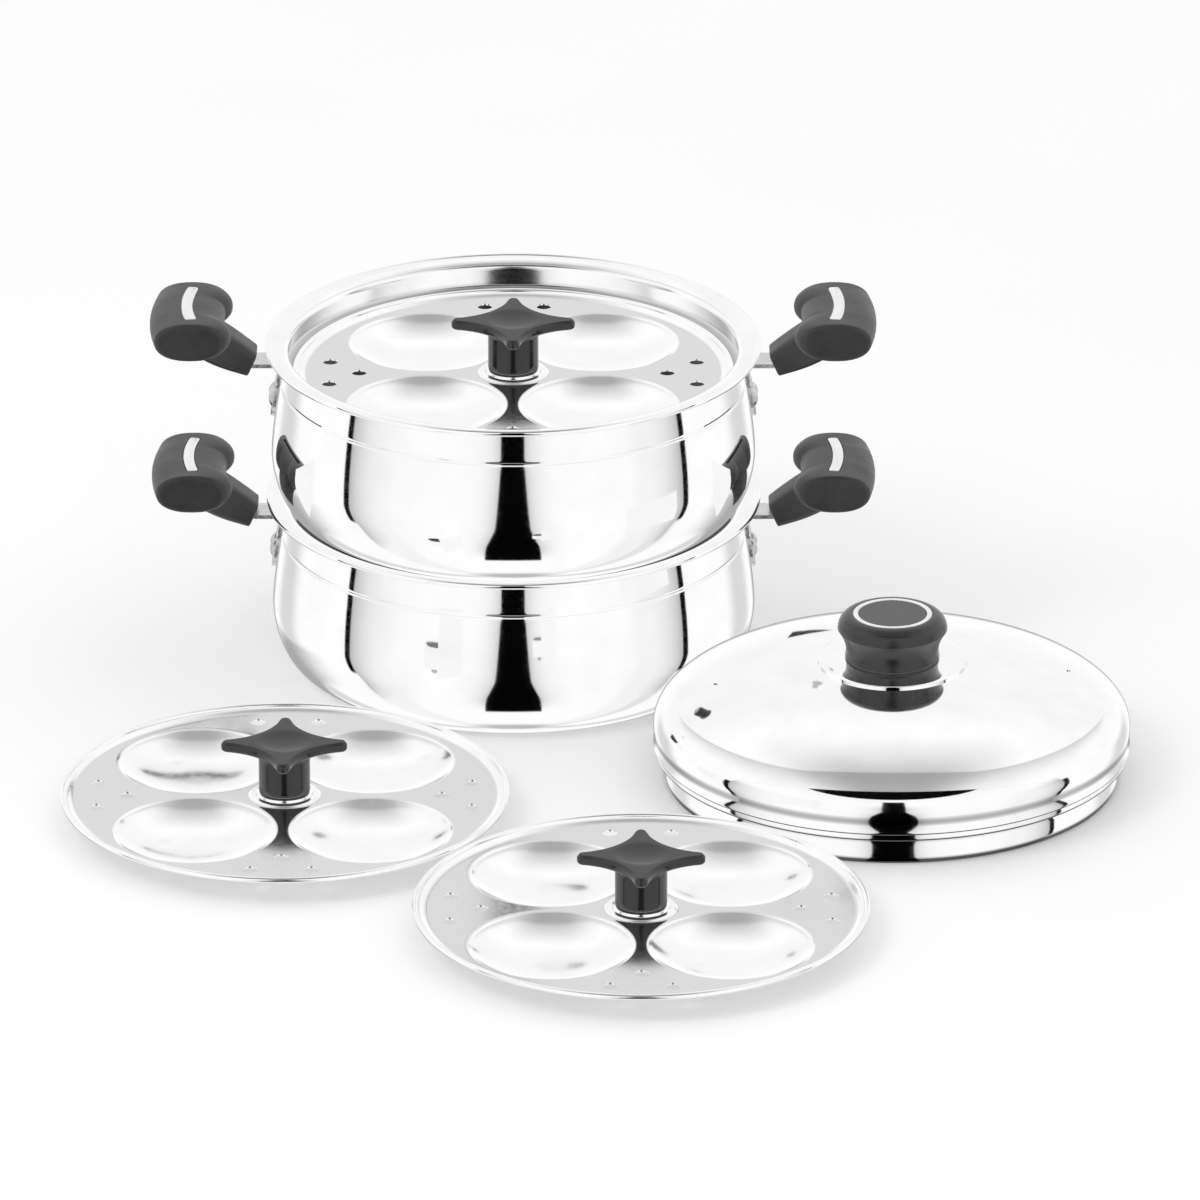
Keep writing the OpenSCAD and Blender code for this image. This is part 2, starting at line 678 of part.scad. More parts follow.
color(steel) plain_pot();  // lower_pot
color("gray") each_side() each_rivet() rivet();  // lower_rivets
color("gray") each_side() handle_screw();  // lower_handle_screws
color("gray") on_side(-1) bracket();  // lower_left_bracket
color(black) on_side(-1) grip();  // lower_left_grip
color(steel) on_side(-1) inlay();  // lower_left_inlay
color("gray") bracket();  // lower_right_bracket
color(black) grip();  // lower_right_grip
color(steel) inlay();  // lower_right_inlay
color(steel) raised() steaming_pot();  // upper_pot
color("gray") raised() each_side() each_rivet() rivet();  // upper_rivets
color("gray") raised() each_side() handle_screw();  // upper_handle_screws
color("gray") raised() on_side(-1) bracket();  // upper_left_bracket
color(black) raised() on_side(-1) grip();  // upper_left_grip
color(steel) raised() on_side(-1) inlay();  // upper_left_inlay
color("gray") raised() bracket();  // upper_right_bracket
color(black) raised() grip();  // upper_right_grip
color(steel) raised() inlay();  // upper_right_inlay
color(steel) in_pot() plate();  // upper_plate
color(black) in_pot() star_knob();  // upper_plate_knob
color(steel) in_pot() knob_washer();  // upper_plate_washer
color("gray") in_pot() plate_screw();  // upper_plate_screw
color(steel) at_left() plate();  // left_plate
color(black) at_left() star_knob();  // left_plate_knob
color(steel) at_left() knob_washer();  // left_plate_washer
color("gray") at_left() plate_screw();  // left_plate_screw
color(steel) at_front() plate();  // front_plate
color(black) at_front() star_knob();  // front_plate_knob
color(steel) at_front() knob_washer();  // front_plate_washer
color("gray") at_front() plate_screw();  // front_plate_screw
color(steel) at_lid() lid_shell();  // lid
color(steel) at_lid() lid_flange();
color(black) at_lid() lid_knob();
color(steel) at_lid() lid_knob_ring();
color("gray") at_lid() lid_washer();
color("gray") at_lid() lid_screw();
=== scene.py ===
"""Looks of the two-tier idli steamer: polished steel, black moulded handles, soft studio light."""

import json
from math import asin, atan2, copysign, cos, hypot, pi, radians, sin, sqrt

import bmesh
import bpy
import numpy as np
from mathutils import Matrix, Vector, geometry

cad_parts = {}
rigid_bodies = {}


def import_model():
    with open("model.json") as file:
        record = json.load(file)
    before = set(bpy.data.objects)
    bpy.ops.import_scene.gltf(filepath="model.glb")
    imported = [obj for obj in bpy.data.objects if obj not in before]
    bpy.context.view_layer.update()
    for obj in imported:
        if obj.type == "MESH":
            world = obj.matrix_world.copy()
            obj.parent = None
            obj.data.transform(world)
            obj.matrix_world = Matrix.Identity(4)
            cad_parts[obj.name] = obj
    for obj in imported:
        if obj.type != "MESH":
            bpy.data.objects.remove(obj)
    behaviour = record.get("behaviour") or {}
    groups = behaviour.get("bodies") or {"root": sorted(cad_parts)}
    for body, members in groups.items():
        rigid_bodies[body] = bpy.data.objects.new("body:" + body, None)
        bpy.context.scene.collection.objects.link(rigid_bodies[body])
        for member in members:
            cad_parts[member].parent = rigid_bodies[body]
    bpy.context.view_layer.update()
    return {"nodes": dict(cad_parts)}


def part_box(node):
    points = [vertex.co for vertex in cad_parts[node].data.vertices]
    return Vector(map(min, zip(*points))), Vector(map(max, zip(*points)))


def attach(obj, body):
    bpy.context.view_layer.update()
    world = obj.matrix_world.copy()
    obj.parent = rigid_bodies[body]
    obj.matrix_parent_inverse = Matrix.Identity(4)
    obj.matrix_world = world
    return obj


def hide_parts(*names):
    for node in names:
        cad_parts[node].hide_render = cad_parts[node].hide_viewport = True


for leftover in list(bpy.data.objects):
    bpy.data.objects.remove(leftover)
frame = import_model()
MM = 0.001

# Sizes in millimetres. They are the CAD source's, but for the pots' plain barrel wall, the lid's fuller dome
# and the height of its knob, which follow the photograph.
rim_r, neck_r, base_r, belly_w = 116.5, 106.6, 97.0, 7.5
pot_h, belly_z, corner_h, corner_power, wall = 82.0, 24.0, 32.0, 2.1, 0.8
roll_r, lip_drop, groove_drop, groove_depth, groove_half = 1.4, 4.6, 17.2, 2.9, 5.2
steam_d, steam_rings, steam_step = 8.0, 3, 24.0
plate_r, edge_w, sheet, cavity_r, cavity_depth = 103.6, 7.0, 0.8, 37.8065, 11.0
cavity_gap, bead_r, bead_rise, hole_d = 5.2, 1.3, 1.7, 7.3
hole_ring_r, hole_half, hole_in_r, boss_r, boss_h = 87.4, 14.0, 72.4, 15.0, 1.2
star_r, tip_r, star_waist, star_t = 29.0, 3.2, 16.0, 5.0
column_r, column_h, dish_r, dish_depth = 11.85, 19.0, 12.4, 1.6
washer_r, washer_t, snug = 13.6, 1.5, 0.1
lid_r, skirt_h, band_h, edge_h, dome_h, lid_wall = 111.0, 12.4, 3.6, 9.5, 31.2, 0.8
dome_flat_r, dome_power, dome_bend = 16.0, 2.5, 0.5
vent_d, vent_r, vent_az, vent_patch_r = 3.4, 83.0, 5.6, 4.2
flange_r, flange_t = 34.4, 2.2
knob_r, knob_waist_r, knob_foot_r, knob_h = 25.4, 19.6, 21.8, 21.5
ring_r, ring_w, ring_in = 18.3, 2.4, 1.4
arm_w, bracket_t, arm_drop, neck_gap = 16.0, 2.0, 9.0, 6.0
neck_len, neck_rise, neck_w, neck_t = 30.5, 17.0, 18.0, 12.0
grip_len, grip_depth, grip_t, inlay_len, inlay_w, inlay_t = 58.0, 35.0, 18.6, 42.0, 5.0, 1.2
end_round, hook, bulge, inlay_bow = 1.6, 3.5, 3.1, 2.0
neck_spread, neck_swell, grip_lift, arm_tilt = 12.0, 3.0, 2.6, 24.0
crease_z, crease_depth, crease_half = 62.8, 0.4, 1.3
bend_r, arm_in, pad_r, rivet_z, rivet_half, rivet_d, rivet_cap = 3.0, 13.4, 10.0, 55.0, 4.8, 8.6, 2.2


def place(node):
    """Middle of a node's box in plan and its lowest height, in millimetres."""
    low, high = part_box(node)
    return [(low[0] + high[0]) / 2 / MM, (low[1] + high[1]) / 2 / MM, low[2] / MM]


upper_z = place("upper_pot")[2]
groove_z = pot_h - groove_drop
lip_z = pot_h - lip_drop
flare_w = rim_r - 2 * roll_r + 0.5 - neck_r
flare_h = lip_drop - roll_r
web_z = cavity_depth
bead_z = web_z + bead_rise
bead_c = plate_r - bead_r
cavity_off = cavity_r + cavity_gap / 2
knob_z = web_z + boss_h + snug
skirt_r = neck_r - wall - 0.6
band_r = lid_r - 1.4
edge_z = skirt_h + band_h
dome_z = edge_z + edge_h
dome_r = lid_r - 0.5
arm_top = pot_h - arm_drop
neck_x = rim_r + neck_gap
neck_z = arm_top - bracket_t / 2
grip_out = neck_x + neck_len + grip_depth / 2
grip_x = grip_out - grip_depth / 2
grip_z = neck_z + neck_rise + grip_lift
grip_top = grip_z + grip_t / 2


def dome_height(r):
    """Height of the dome's outer side at a radius."""
    return dome_z + dome_h * max(0.0, 1 - (r / dome_r) ** dome_power) ** dome_bend


lid_top = dome_height(dome_flat_r)
knob_base = lid_top + snug + flange_t


# Mesh tools
def put(name, data):
    """A new object in the scene."""
    o = bpy.data.objects.new(name, data)
    bpy.context.collection.objects.link(o)
    return o


class Mesh:
    """Vertices and faces gathered in millimetres."""

    def __init__(self):
        self.v = []
        self.f = []

    def add(self, verts, faces):
        k = len(self.v)
        self.v += [tuple(p) for p in verts]
        self.f += [tuple(i + k for i in f) for f in faces]

    def lathe(self, profile, n, at):
        """Turns points (r, z) about the vertical axis."""
        verts, rows = [], []
        for r, z in profile:
            if r < 1e-6:
                rows.append([len(verts)])
                verts.append((at[0], at[1], at[2] + z))
                continue
            rows.append(list(range(len(verts), len(verts) + n)))
            for i in range(n):
                a = 2 * pi * i / n
                verts.append((at[0] + r * cos(a), at[1] + r * sin(a), at[2] + z))
        faces = []
        for a, b in zip(rows, rows[1:]):
            for i in range(n):
                j = (i + 1) % n
                if len(a) == 1:
                    faces.append((a[0], b[j], b[i]))
                elif len(b) == 1:
                    faces.append((a[i], a[j], b[0]))
                else:
                    faces.append((a[i], a[j], b[j], b[i]))
        self.add(verts, faces)

    def rings(self, rings):
        """A skin over closed rings of equal counts, with flat ends."""
        n = len(rings[0])
        faces = []
        for k in range(len(rings) - 1):
            for i in range(n):
                j = (i + 1) % n
                faces.append((k * n + i, k * n + j, (k + 1) * n + j, (k + 1) * n + i))
        faces.append(tuple(range(n))[::-1])
        faces.append(tuple((len(rings) - 1) * n + i for i in range(n)))
        self.add([p for ring in rings for p in ring], faces)

    def web(self, loops, holes, height, at):
        """A flat or domed sheet inside the first loop and outside the holes, each hole a (centre, radius)."""
        pts, edges = [], []
        for loop in loops:
            k = len(pts)
            pts += [Vector(p) for p in loop]
            edges += [(k + i, k + (i + 1) % len(loop)) for i in range(len(loop))]
        out = geometry.delaunay_2d_cdt(pts, edges, [], 0, 1e-7)
        verts, tris = out[0], out[2]
        outer = np.array(loops[0])
        keep = []
        for t in tris:
            c = sum((verts[i] for i in t), Vector((0, 0))) / len(t)
            if inside(c, outer) and not any((c - Vector(h)).length < r for h, r in holes):
                keep.append(tuple(t))
        self.add([(at[0] + p[0], at[1] + p[1], at[2] + height(hypot(p[0], p[1]))) for p in verts], keep)

    def pierced(self, edge, gaps, ease, z, at):
        """A flat web inside an edge, with a round gap for each (centre, radius, corners)."""
        self.web([edge] + [circle(*gap) for gap in gaps], [(c, r * ease) for c, r, _ in gaps],
                 lambda r: z, at)

    def build(self, name, sharp=38, merge=2e-6):
        """Makes the object, with close vertices merged."""
        me = bpy.data.meshes.new(name)
        me.from_pydata([tuple(c * MM for c in p) for p in self.v], [], self.f)
        bm = bmesh.new()
        bm.from_mesh(me)
        bmesh.ops.remove_doubles(bm, verts=bm.verts, dist=merge)
        loose = [v for v in bm.verts if not v.link_faces]
        bmesh.ops.delete(bm, geom=loose, context="VERTS")
        bmesh.ops.recalc_face_normals(bm, faces=bm.faces)
        bm.to_mesh(me)
        bm.free()
        o = put(name, me)
        smooth(o, sharp)
        return o


def turned(name, profile, n, at, sharp=38):
    """A piece turned from one profile."""
    m = Mesh()
    m.lathe(profile, n, at)
    return m.build(name, sharp)


def parts(n, first=1):
    """Fractions of the way in n steps."""
    return [i / n for i in range(first, n + 1)]


def quarter(n, first=1):
    """Angles of a quarter turn in n steps."""
    return [pi / 2 * i / n for i in range(first, n + 1)]


def full(n):
    """Angles of a full turn in n steps, with the first again at the end."""
    return [2 * pi * i / n for i in range(n + 1)]


def inside(p, poly):
    """Whether a point lies inside a polygon."""
    x, y = poly[:, 0], poly[:, 1]
    x2, y2 = np.roll(x, -1), np.roll(y, -1)
    cross = ((y > p[1]) != (y2 > p[1])) & (p[0] < (x2 - x) * (p[1] - y) / (y2 - y + 1e-30) + x)
    return bool(cross.sum() % 2)


def smooth(o, sharp=38):
    """Smooth shading but for edges sharper than an angle in degrees."""
    me = o.data
    me.polygons.foreach_set("use_smooth", [True] * len(me.polygons))
    me.set_sharp_from_angle(angle=radians(sharp))


def apply(o):
    """Replaces an object's mesh with its evaluated mesh."""
    deps = bpy.context.evaluated_depsgraph_get()
    me = bpy.data.meshes.new_from_object(o.evaluated_get(deps))
    o.modifiers.clear()
    old = o.data
    o.data = me
    bpy.data.meshes.remove(old)


def aim(o, way, key):
    """Turns a skin's normals so that its greatest face by a key looks up (1) or down (-1)."""
    if max(o.data.polygons, key=key).normal[2] * way < 0:
        o.data.flip_normals()


def thicken(o, t):
    """Gives a skin its sheet thickness, inwards."""
    m = o.modifiers.new("sheet", "SOLIDIFY")
    m.thickness = t * MM
    m.offset = -1
    m.use_even_offset = True
    apply(o)
    smooth(o)


def circle(c, r, n, turn=0.0):
    """Points on a circle in plan."""
    return [(c[0] + r * cos(2 * pi * i / n + turn), c[1] + r * sin(2 * pi * i / n + turn))
            for i in range(n)]


def finish_piece(o, body, mat, slot, *nodes, mirrored=False):
    """Gives a piece its material and body, hides the CAD nodes it stands in for, and says whether mirrors
    show it. The slot argument is not used.
    """
    o.visible_glossy = mirrored
    o.data.materials.clear()
    o.data.materials.append(mat)
    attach(o, body)
    if nodes:
        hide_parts(*nodes)
    return o


# Materials
def new_mat(name):
    """A material with one principled shader."""
    m = bpy.data.materials.new(name)
    m.use_nodes = True
    nt = m.node_tree
    nt.nodes.clear()
    out = nt.nodes.new("ShaderNodeOutputMaterial")
    bsdf = nt.nodes.new("ShaderNodeBsdfPrincipled")
    nt.links.new(bsdf.outputs[0], out.inputs[0])
    return m, nt, bsdf


def noise(nt, vector, **inputs):
    """Grey value of a noise."""
    n = nt.nodes.new("ShaderNodeTexNoise")
    for k, v in inputs.items():
        n.inputs[k].default_value = v
    nt.links.new(vector, n.inputs["Vector"])
    return n.outputs["Fac"]


def raise_by(nt, b, grey, strength, distance):
    """Raises a surface by a grey value."""
    n = nt.nodes.new("ShaderNodeBump")
    n.inputs["Strength"].default_value, n.inputs["Distance"].default_value = strength, distance
    nt.links.new(grey, n.inputs["Height"])
    nt.links.new(n.outputs[0], b.inputs["Normal"])


def spread(nt, source, low, high, frm=(0.3, 0.7)):
    """Maps a grey value onto the range low to high."""
    r = nt.nodes.new("ShaderNodeMapRange")
    r.inputs["From Min"].default_value, r.inputs["From Max"].default_value = frm
    r.inputs["To Min"].default_value, r.inputs["To Max"].default_value = low, high
    nt.links.new(source, r.inputs["Value"])
    return r.outputs["Result"]


def tinted(nt, value, dark, light):
    """Maps a grey value onto two colours."""
    ramp = nt.nodes.new("ShaderNodeValToRGB")
    ramp.color_ramp.elements[0].position, ramp.color_ramp.elements[1].position = 0.3, 0.7
    ramp.color_ramp.elements[0].color = (*dark, 1)
    ramp.color_ramp.elements[1].color = (*light, 1)
    nt.links.new(value, ramp.inputs["Fac"])
    return ramp.outputs["Color"]


def steel(name, rough, dark, light, stretch=(1, 1, 1), scale=60.0, bump=0.0, bump_scale=300.0):
    """Polished or brushed stainless steel: faint clouds in colour, wiping marks in roughness."""
    m, nt, b = new_mat(name)
    co = nt.nodes.new("ShaderNodeTexCoord")
    mp = nt.nodes.new("ShaderNodeMapping")
    mp.inputs["Scale"].default_value = stretch
    nt.links.new(co.outputs["Object"], mp.inputs["Vector"])
    clouds = noise(nt, mp.outputs[0], Scale=scale, Detail=4.0)
    wipes = noise(nt, mp.outputs[0], Scale=scale * 6, Detail=3.0)
    b.inputs["Metallic"].default_value = 1.0
    nt.links.new(tinted(nt, clouds, dark, light), b.inputs["Base Color"])
    nt.links.new(spread(nt, wipes, *rough), b.inputs["Roughness"])
    if bump:
        raise_by(nt, b, noise(nt, mp.outputs[0], Scale=bump_scale, Detail=2.0), 0.5, bump)
    return m


def feed(nt, socket, v):
    """Sets a socket to a number, or links it."""
    if isinstance(v, (int, float)):
        socket.default_value = v
    else:
        nt.links.new(v, socket)


def calc(nt, kind, *values):
    """Result of a Math node."""
    n = nt.nodes.new("ShaderNodeMath")
    n.operation = kind
    for socket, v in zip(n.inputs, values):
        feed(nt, socket, v)
    return n.outputs[0]


def choose(nt, where, a, b):
    """Shader a, or b where the factor says so."""
    n = nt.nodes.new("ShaderNodeMixShader")
    for socket, v in zip(n.inputs, (where, a, b)):
        nt.links.new(v, socket)
    return n.outputs[0]


def shader(m):
    """A material's node tree and its principled shader."""
    return m.node_tree, next(n for n in m.node_tree.nodes if n.type == "BSDF_PRINCIPLED")


def upright(nt, kind, output):
    """The z part of a vector that an input node gives."""
    part = nt.nodes.new("ShaderNodeSeparateXYZ")
    nt.links.new(nt.nodes.new(kind).outputs[output], part.inputs[0])
    return part.outputs[2]


def height(nt):
    return upright(nt, "ShaderNodeTexCoord", "Object")


def facing_up(nt):
    return upright(nt, "ShaderNodeNewGeometry", "Normal")


def mix_colour(nt, b, grey, where):
    """Lays a grey over the base colour where the factor says so."""
    colour = b.inputs["Base Color"]
    mix = nt.nodes.new("ShaderNodeMix")
    mix.data_type = "RGBA"
    sockets = {(k.name, k.type): k for k in mix.inputs}
    sockets["B", "RGBA"].default_value = (*grey, 1)
    nt.links.new(colour.links[0].from_socket, sockets["A", "RGBA"])
    nt.links.new(where, sockets["Factor", "VALUE"])
    nt.links.new(next(k for k in mix.outputs if k.type == "RGBA"), colour)


def roughen(nt, b, where, more):
    """Adds to the roughness where the factor says so."""
    rough = b.inputs["Roughness"]
    nt.links.new(calc(nt, "MULTIPLY_ADD", where, more, rough.links[0].from_socket), rough)


def pot_steel_with_painted_shade(name, shade_z):
    """Mirror outside, satin inside, and painted shade below the given height: dark grey laid into the colour
    of the inward and upward faces, where little light comes.
    """
    m = steel(name, (0.035, 0.06), *BRIGHT)
    nt, b = shader(m)
    flat = nt.nodes.new("ShaderNodeVectorMath")
    flat.operation = "MULTIPLY"
    flat.inputs[1].default_value = (1, 1, 0)
    nt.links.new(nt.nodes.new("ShaderNodeTexCoord").outputs["Object"], flat.inputs[0])
    facing = nt.nodes.new("ShaderNodeVectorMath")
    facing.operation = "DOT_PRODUCT"
    nt.links.new(flat.outputs[0], facing.inputs[0])
    nt.links.new(nt.nodes.new("ShaderNodeNewGeometry").outputs["Normal"], facing.inputs[1])
    within = spread(nt, facing.outputs["Value"], 1.0, 0.0, (-0.03, 0.0))
    deep = spread(nt, height(nt), 1.0, 0.0, ((shade_z - 7) * MM, shade_z * MM))
    base = spread(nt, facing_up(nt), 0.0, 1.0, (0.5, 0.9))
    roughen(nt, b, within, 0.11)
    # Painted shade: the inward and upward faces below shade_z are coloured dark grey, in place of the shade
    # inside a stacked pot
    mix_colour(nt, b, (0.05, 0.05, 0.05), calc(nt, "MULTIPLY", calc(nt, "MAXIMUM", within, base), deep))
    return m


def phenolic(name, rough, dark, light, grain=0.00006):
    """Black moulded resin: fine grain, slight wear in its sheen."""
    m, nt, b = new_mat(name)
    co = nt.nodes.new("ShaderNodeTexCoord").outputs["Object"]
    cloud = noise(nt, co, Scale=90.0, Detail=5.0, Roughness=0.6)
    fine = noise(nt, co, Scale=1500.0, Detail=3.0, Roughness=0.6)
    nt.links.new(tinted(nt, cloud, dark, light), b.inputs["Base Color"])
    nt.links.new(spread(nt, cloud, *rough), b.inputs["Roughness"])
    raise_by(nt, b, fine, 0.4, grain)
    b.inputs["Specular IOR Level"].default_value = 0.5
    return m


def lid_steel_with_painted_shade(name):
    """Mirror on the faces that look up or out, with painted shade underneath: the faces that look down are
    coloured dark grey.
    """
    m = steel(name, (0.04, 0.07), *BRIGHT)
    nt, b = shader(m)
    # Painted shade: dark grey in the colour of every face that looks down
    mix_colour(nt, b, (0.08, 0.08, 0.08), spread(nt, facing_up(nt), 1.0, 0.0, (-0.12, -0.02)))
    return m


def plate_finish(name, low):
    """Bright pressed cavities and rim, with a duller flat web between them."""
    m = steel(name, *SATIN)
    nt, b = shader(m)
    above = spread(nt, height(nt), 0.0, 1.0, ((low + web_z - 0.5) * MM, (low + web_z - 0.1) * MM))
    below = spread(nt, height(nt), 1.0, 0.0, ((low + web_z + 0.1) * MM, (low + web_z + 0.6) * MM))
    mix_colour(nt, b, (0.70, 0.70, 0.705), calc(nt, "MULTIPLY", above, below))
    return m


def star_finish(name):
    """Moulded resin, satin on top and glossy on its sides."""
    m = phenolic(name, (0.10, 0.16), (0.014, 0.014, 0.015), (0.022, 0.022, 0.023), 0.00002)
    nt, b = shader(m)
    roughen(nt, b, spread(nt, facing_up(nt), 0.0, 1.0, (0.35, 0.85)), 0.32)
    return m


BRIGHT = (0.90, 0.90, 0.905), (0.95, 0.95, 0.955)
SATIN = (0.13, 0.19), (0.92, 0.92, 0.925), (0.96, 0.96, 0.965)
SHADE_H = 71.0  # height in a pot below which its inside carries painted shade
lower_steel = pot_steel_with_painted_shade("lower_pot_steel", SHADE_H)
upper_steel = pot_steel_with_painted_shade("upper_pot_steel", upper_z + SHADE_H)
plate_steel = steel("plate_steel", *SATIN)
lid_steel = lid_steel_with_painted_shade("lid_steel")
inlay_steel = steel("inlay_steel", (0.22, 0.32), (0.80, 0.80, 0.80), (0.90, 0.90, 0.90), (1, 0.1, 1), 400)
bracket_steel = steel("bracket_steel", (0.22, 0.38), (0.52, 0.52, 0.52), (0.72, 0.72, 0.72), (1, 6, 1), 120,
                      0.00004, 500)
fastener_steel = steel("fastener_steel", (0.25, 0.4), (0.50, 0.50, 0.50), (0.70, 0.70, 0.70), (1, 1, 1), 300,
                       0.00003, 900)
handle_black = phenolic("handle_phenolic", (0.36, 0.48), (0.022, 0.022, 0.023), (0.032, 0.032, 0.033))
star_black = star_finish("star_phenolic")
knob_black = phenolic("knob_phenolic", (0.20, 0.30), (0.020, 0.020, 0.021), (0.030, 0.030, 0.031), 0.00003)


# Pots
def wall_radius(z):
    """Outer radius of a pot above its flat base, with its rolled crease."""
    t = max(0.0, (z - belly_z) / (lip_z - belly_z))
    near = min(1.0, abs(z - crease_z) / crease_half)
    dent = crease_depth * (1 + cos(pi * near)) / 2
    barrel = neck_r + belly_w * (1 - t ** 1.5) - dent
    corner = 1 - max(0.0, 1 - z / corner_h) ** corner_power
    return base_r + (barrel - base_r) * corner ** (1 / corner_power)


def shell_profile():
    """Outer profile of a pot outside the flat base, from the base's edge to the lip."""
    heights = [corner_h * (1 - cos(pi / 2 * i / 60)) for i in range(61)]
    edges = (corner_h, crease_z - crease_half, crease_z + crease_half, lip_z)
    for low, high, n in zip(edges, edges[1:], (25, 25, 15)):
        heights += list(np.linspace(low, high, n)[1:])
    pts = [(wall_radius(z), z) for z in heights]
    for a in quarter(16):
        pts.append((neck_r + flare_w * (1 - cos(a)), lip_z + flare_h * sin(a)))
    return pts


def make_ledge(name, lift):
    """The bead inside the neck on which a plate lies."""
    steps = [-1 + i / 20 for i in range(41)]
    back = [(wall_radius(groove_z + groove_half * u) - wall / 2, groove_z + groove_half * u) for u in steps]
    front = []
    for (r, z), u in zip(back, steps):
        deep = (1 + cos(pi * u)) / 2
        front.append((r - 0.05 - (r - 0.05 - neck_r + wall + groove_depth) * deep, z))
    return turned(name, front + back[::-1] + [front[0]], 256, (0, 0, lift))


def make_pot(name, lift, holes):
    """A pressed pot with its rolled rim and the ledge for a plate."""
    m = Mesh()
    rim = 88.0  # radius to which the flat base is one web
    gaps = []
    if holes:
        for ring in range(1, steam_rings + 1):
            out = ring * steam_step
            gaps += [((out * cos(a), out * sin(a)), steam_d / 2, 32) for a in full(6 * ring)[:-1]]
    m.pierced(circle((0, 0), rim, 256), gaps, 0.99, 0.0, (0, 0, lift))
    m.lathe([(rim, 0), (base_r - 1, 0)] + shell_profile(), 256, (0, 0, lift))
    o = m.build(name)
    aim(o, -1, lambda p: (-p.center[2], p.area))
    thicken(o, wall)
    roll = [(rim_r - roll_r + roll_r * cos(a), pot_h - roll_r + roll_r * sin(a)) for a in full(32)]
    join(o, turned(name + "_roll", roll, 256, (0, 0, lift)))
    join(o, make_ledge(name + "_ledge", lift))
    return o


def join(a, b):
    """Puts b's faces into a."""
    bm = bmesh.new()
    bm.from_mesh(a.data)
    bm.from_mesh(b.data)
    bm.to_mesh(a.data)
    bm.free()
    bpy.data.objects.remove(b)
    smooth(a)


for pot, lift, mat in (("lower", 0.0, lower_steel), ("upper", upper_z, upper_steel)):
    shell = make_pot(pot + "_pot_shell", lift, pot == "upper")
    finish_piece(shell, pot + "_pot_body", mat, "pot_steel", pot + "_pot")


# Plates
def bowl(n=40):
    """Top side of a cavity, from its rounded mouth to its middle."""
    lip, lip_h, power = 1.1, 1.2, 2.8
    steps = [cavity_r * (1 - i / n) for i in range(n + 1)]
    inner = [(r, sheet + (web_z - sheet) * (r / cavity_r) ** power) for r in steps]
    # The mouth is rounded where the sheet turns down
    inner = [p for p in inner if p[1] < web_z - lip_h]
    first = inner[0]
    turn = []
    for t in parts(8, 0):
        a, b, c = (1 - t) ** 2, 2 * t * (1 - t), t * t
        turn.append((a * (cavity_r + lip) + b * (cavity_r - 0.15) + c * first[0],
                     a * web_z + b * web_z + c * first[1]))
    return [(cavity_r + lip + 0.5, web_z)] + turn + inner[1:]


def make_plate(name, at):
    """A pressed plate: web, cavities, raised rim with its bead, and the boss under the knob."""
    m = Mesh()
    up = plate_r - edge_w
    n = 128
    middles = [(x * cavity_off, y * cavity_off) for x in (-1, 1) for y in (-1, 1)]
    gaps = [(c, cavity_r + 1.6, n) for c in middles]
    out = sqrt(hole_ring_r ** 2 - hole_half ** 2)
    for turn in range(4):
        ct, st = round(cos(pi / 2 * turn)), round(sin(pi / 2 * turn))
        for p in ((out, -hole_half), (out, hole_half), (hole_in_r, 0)):
            gaps.append(((ct * p[0] - st * p[1], st * p[0] + ct * p[1]), hole_d / 2, 40))
    boss = boss_r + 2.6
    gaps.append(((0, 0), boss, 96))
    m.pierced(circle((0, 0), up, 256), gaps, 0.995, web_z, at)
    for x, y in middles:
        m.lathe(bowl(), n, (at[0] + x, at[1] + y, at[2]))
    rise = [(up, web_z)]
    for t in parts(16):
        rise.append((up + (plate_r - 2 * bead_r - up) * t,
                     web_z + bead_rise * (1 - cos(pi * t)) / 2))
    rise.append((bead_c, bead_z))
    m.lathe(rise, 256, at)
    swell = [(boss, web_z), (boss - 0.4, web_z)]
    for t in parts(8):
        swell.append((boss - 0.4 - 1.8 * t, web_z + boss_h * (1 - cos(pi * t)) / 2))
    swell += [(boss_r, web_z + boss_h), (5.0, web_z + boss_h), (2.6, web_z + boss_h)]
    m.lathe(swell, 96, at)
    o = m.build(name, merge=2e-5)
    aim(o, 1, lambda p: p.area)
    thicken(o, sheet)
    bead = [(bead_c + bead_r * cos(a), bead_z + bead_r * sin(a)) for a in full(24)]
    join(o, turned(name + "_bead", bead, 256, at))
    return o


# Star knobs
def star_outline(n):
    """Points round the star, one for each of n equal steps in angle."""
    tip_c = star_r - tip_r
    cut_c = (tip_c ** 2 - (star_waist - tip_r) ** 2) / (sqrt(2) * tip_c - 2 * (star_waist - tip_r))
    cut = np.array([cut_c / sqrt(2)] * 2)
    cut_r = cut_c - star_waist
    lean = atan2(cut[1], cut[0] - tip_c)
    touch = atan2(tip_r * sin(lean), tip_c + tip_r * cos(lean))
    pts = []
    for i in range(n):
        a = (2 * pi * i / n + pi / 4) % (pi / 2) - pi / 4
        d = np.array([cos(a), abs(sin(a))])
        if atan2(d[1], d[0]) < touch:
            k = d[0] * tip_c
            r = k + sqrt(max(0, k * k - tip_c ** 2 + tip_r ** 2))
        else:
            k = d @ cut
            r = k - sqrt(max(0, k * k - cut @ cut + cut_r ** 2))
        b = 2 * pi * i / n
        pts.append(np.array([r * cos(b), r * sin(b)]))
    return np.array(pts)


def offset(pts, d):
    """Ring moved inward by d."""
    run = np.roll(pts, -1, 0) - np.roll(pts, 1, 0)
    nrm = np.c_[run[:, 1], -run[:, 0]] / np.linalg.norm(run, axis=1)[:, None]
    return pts - d * nrm


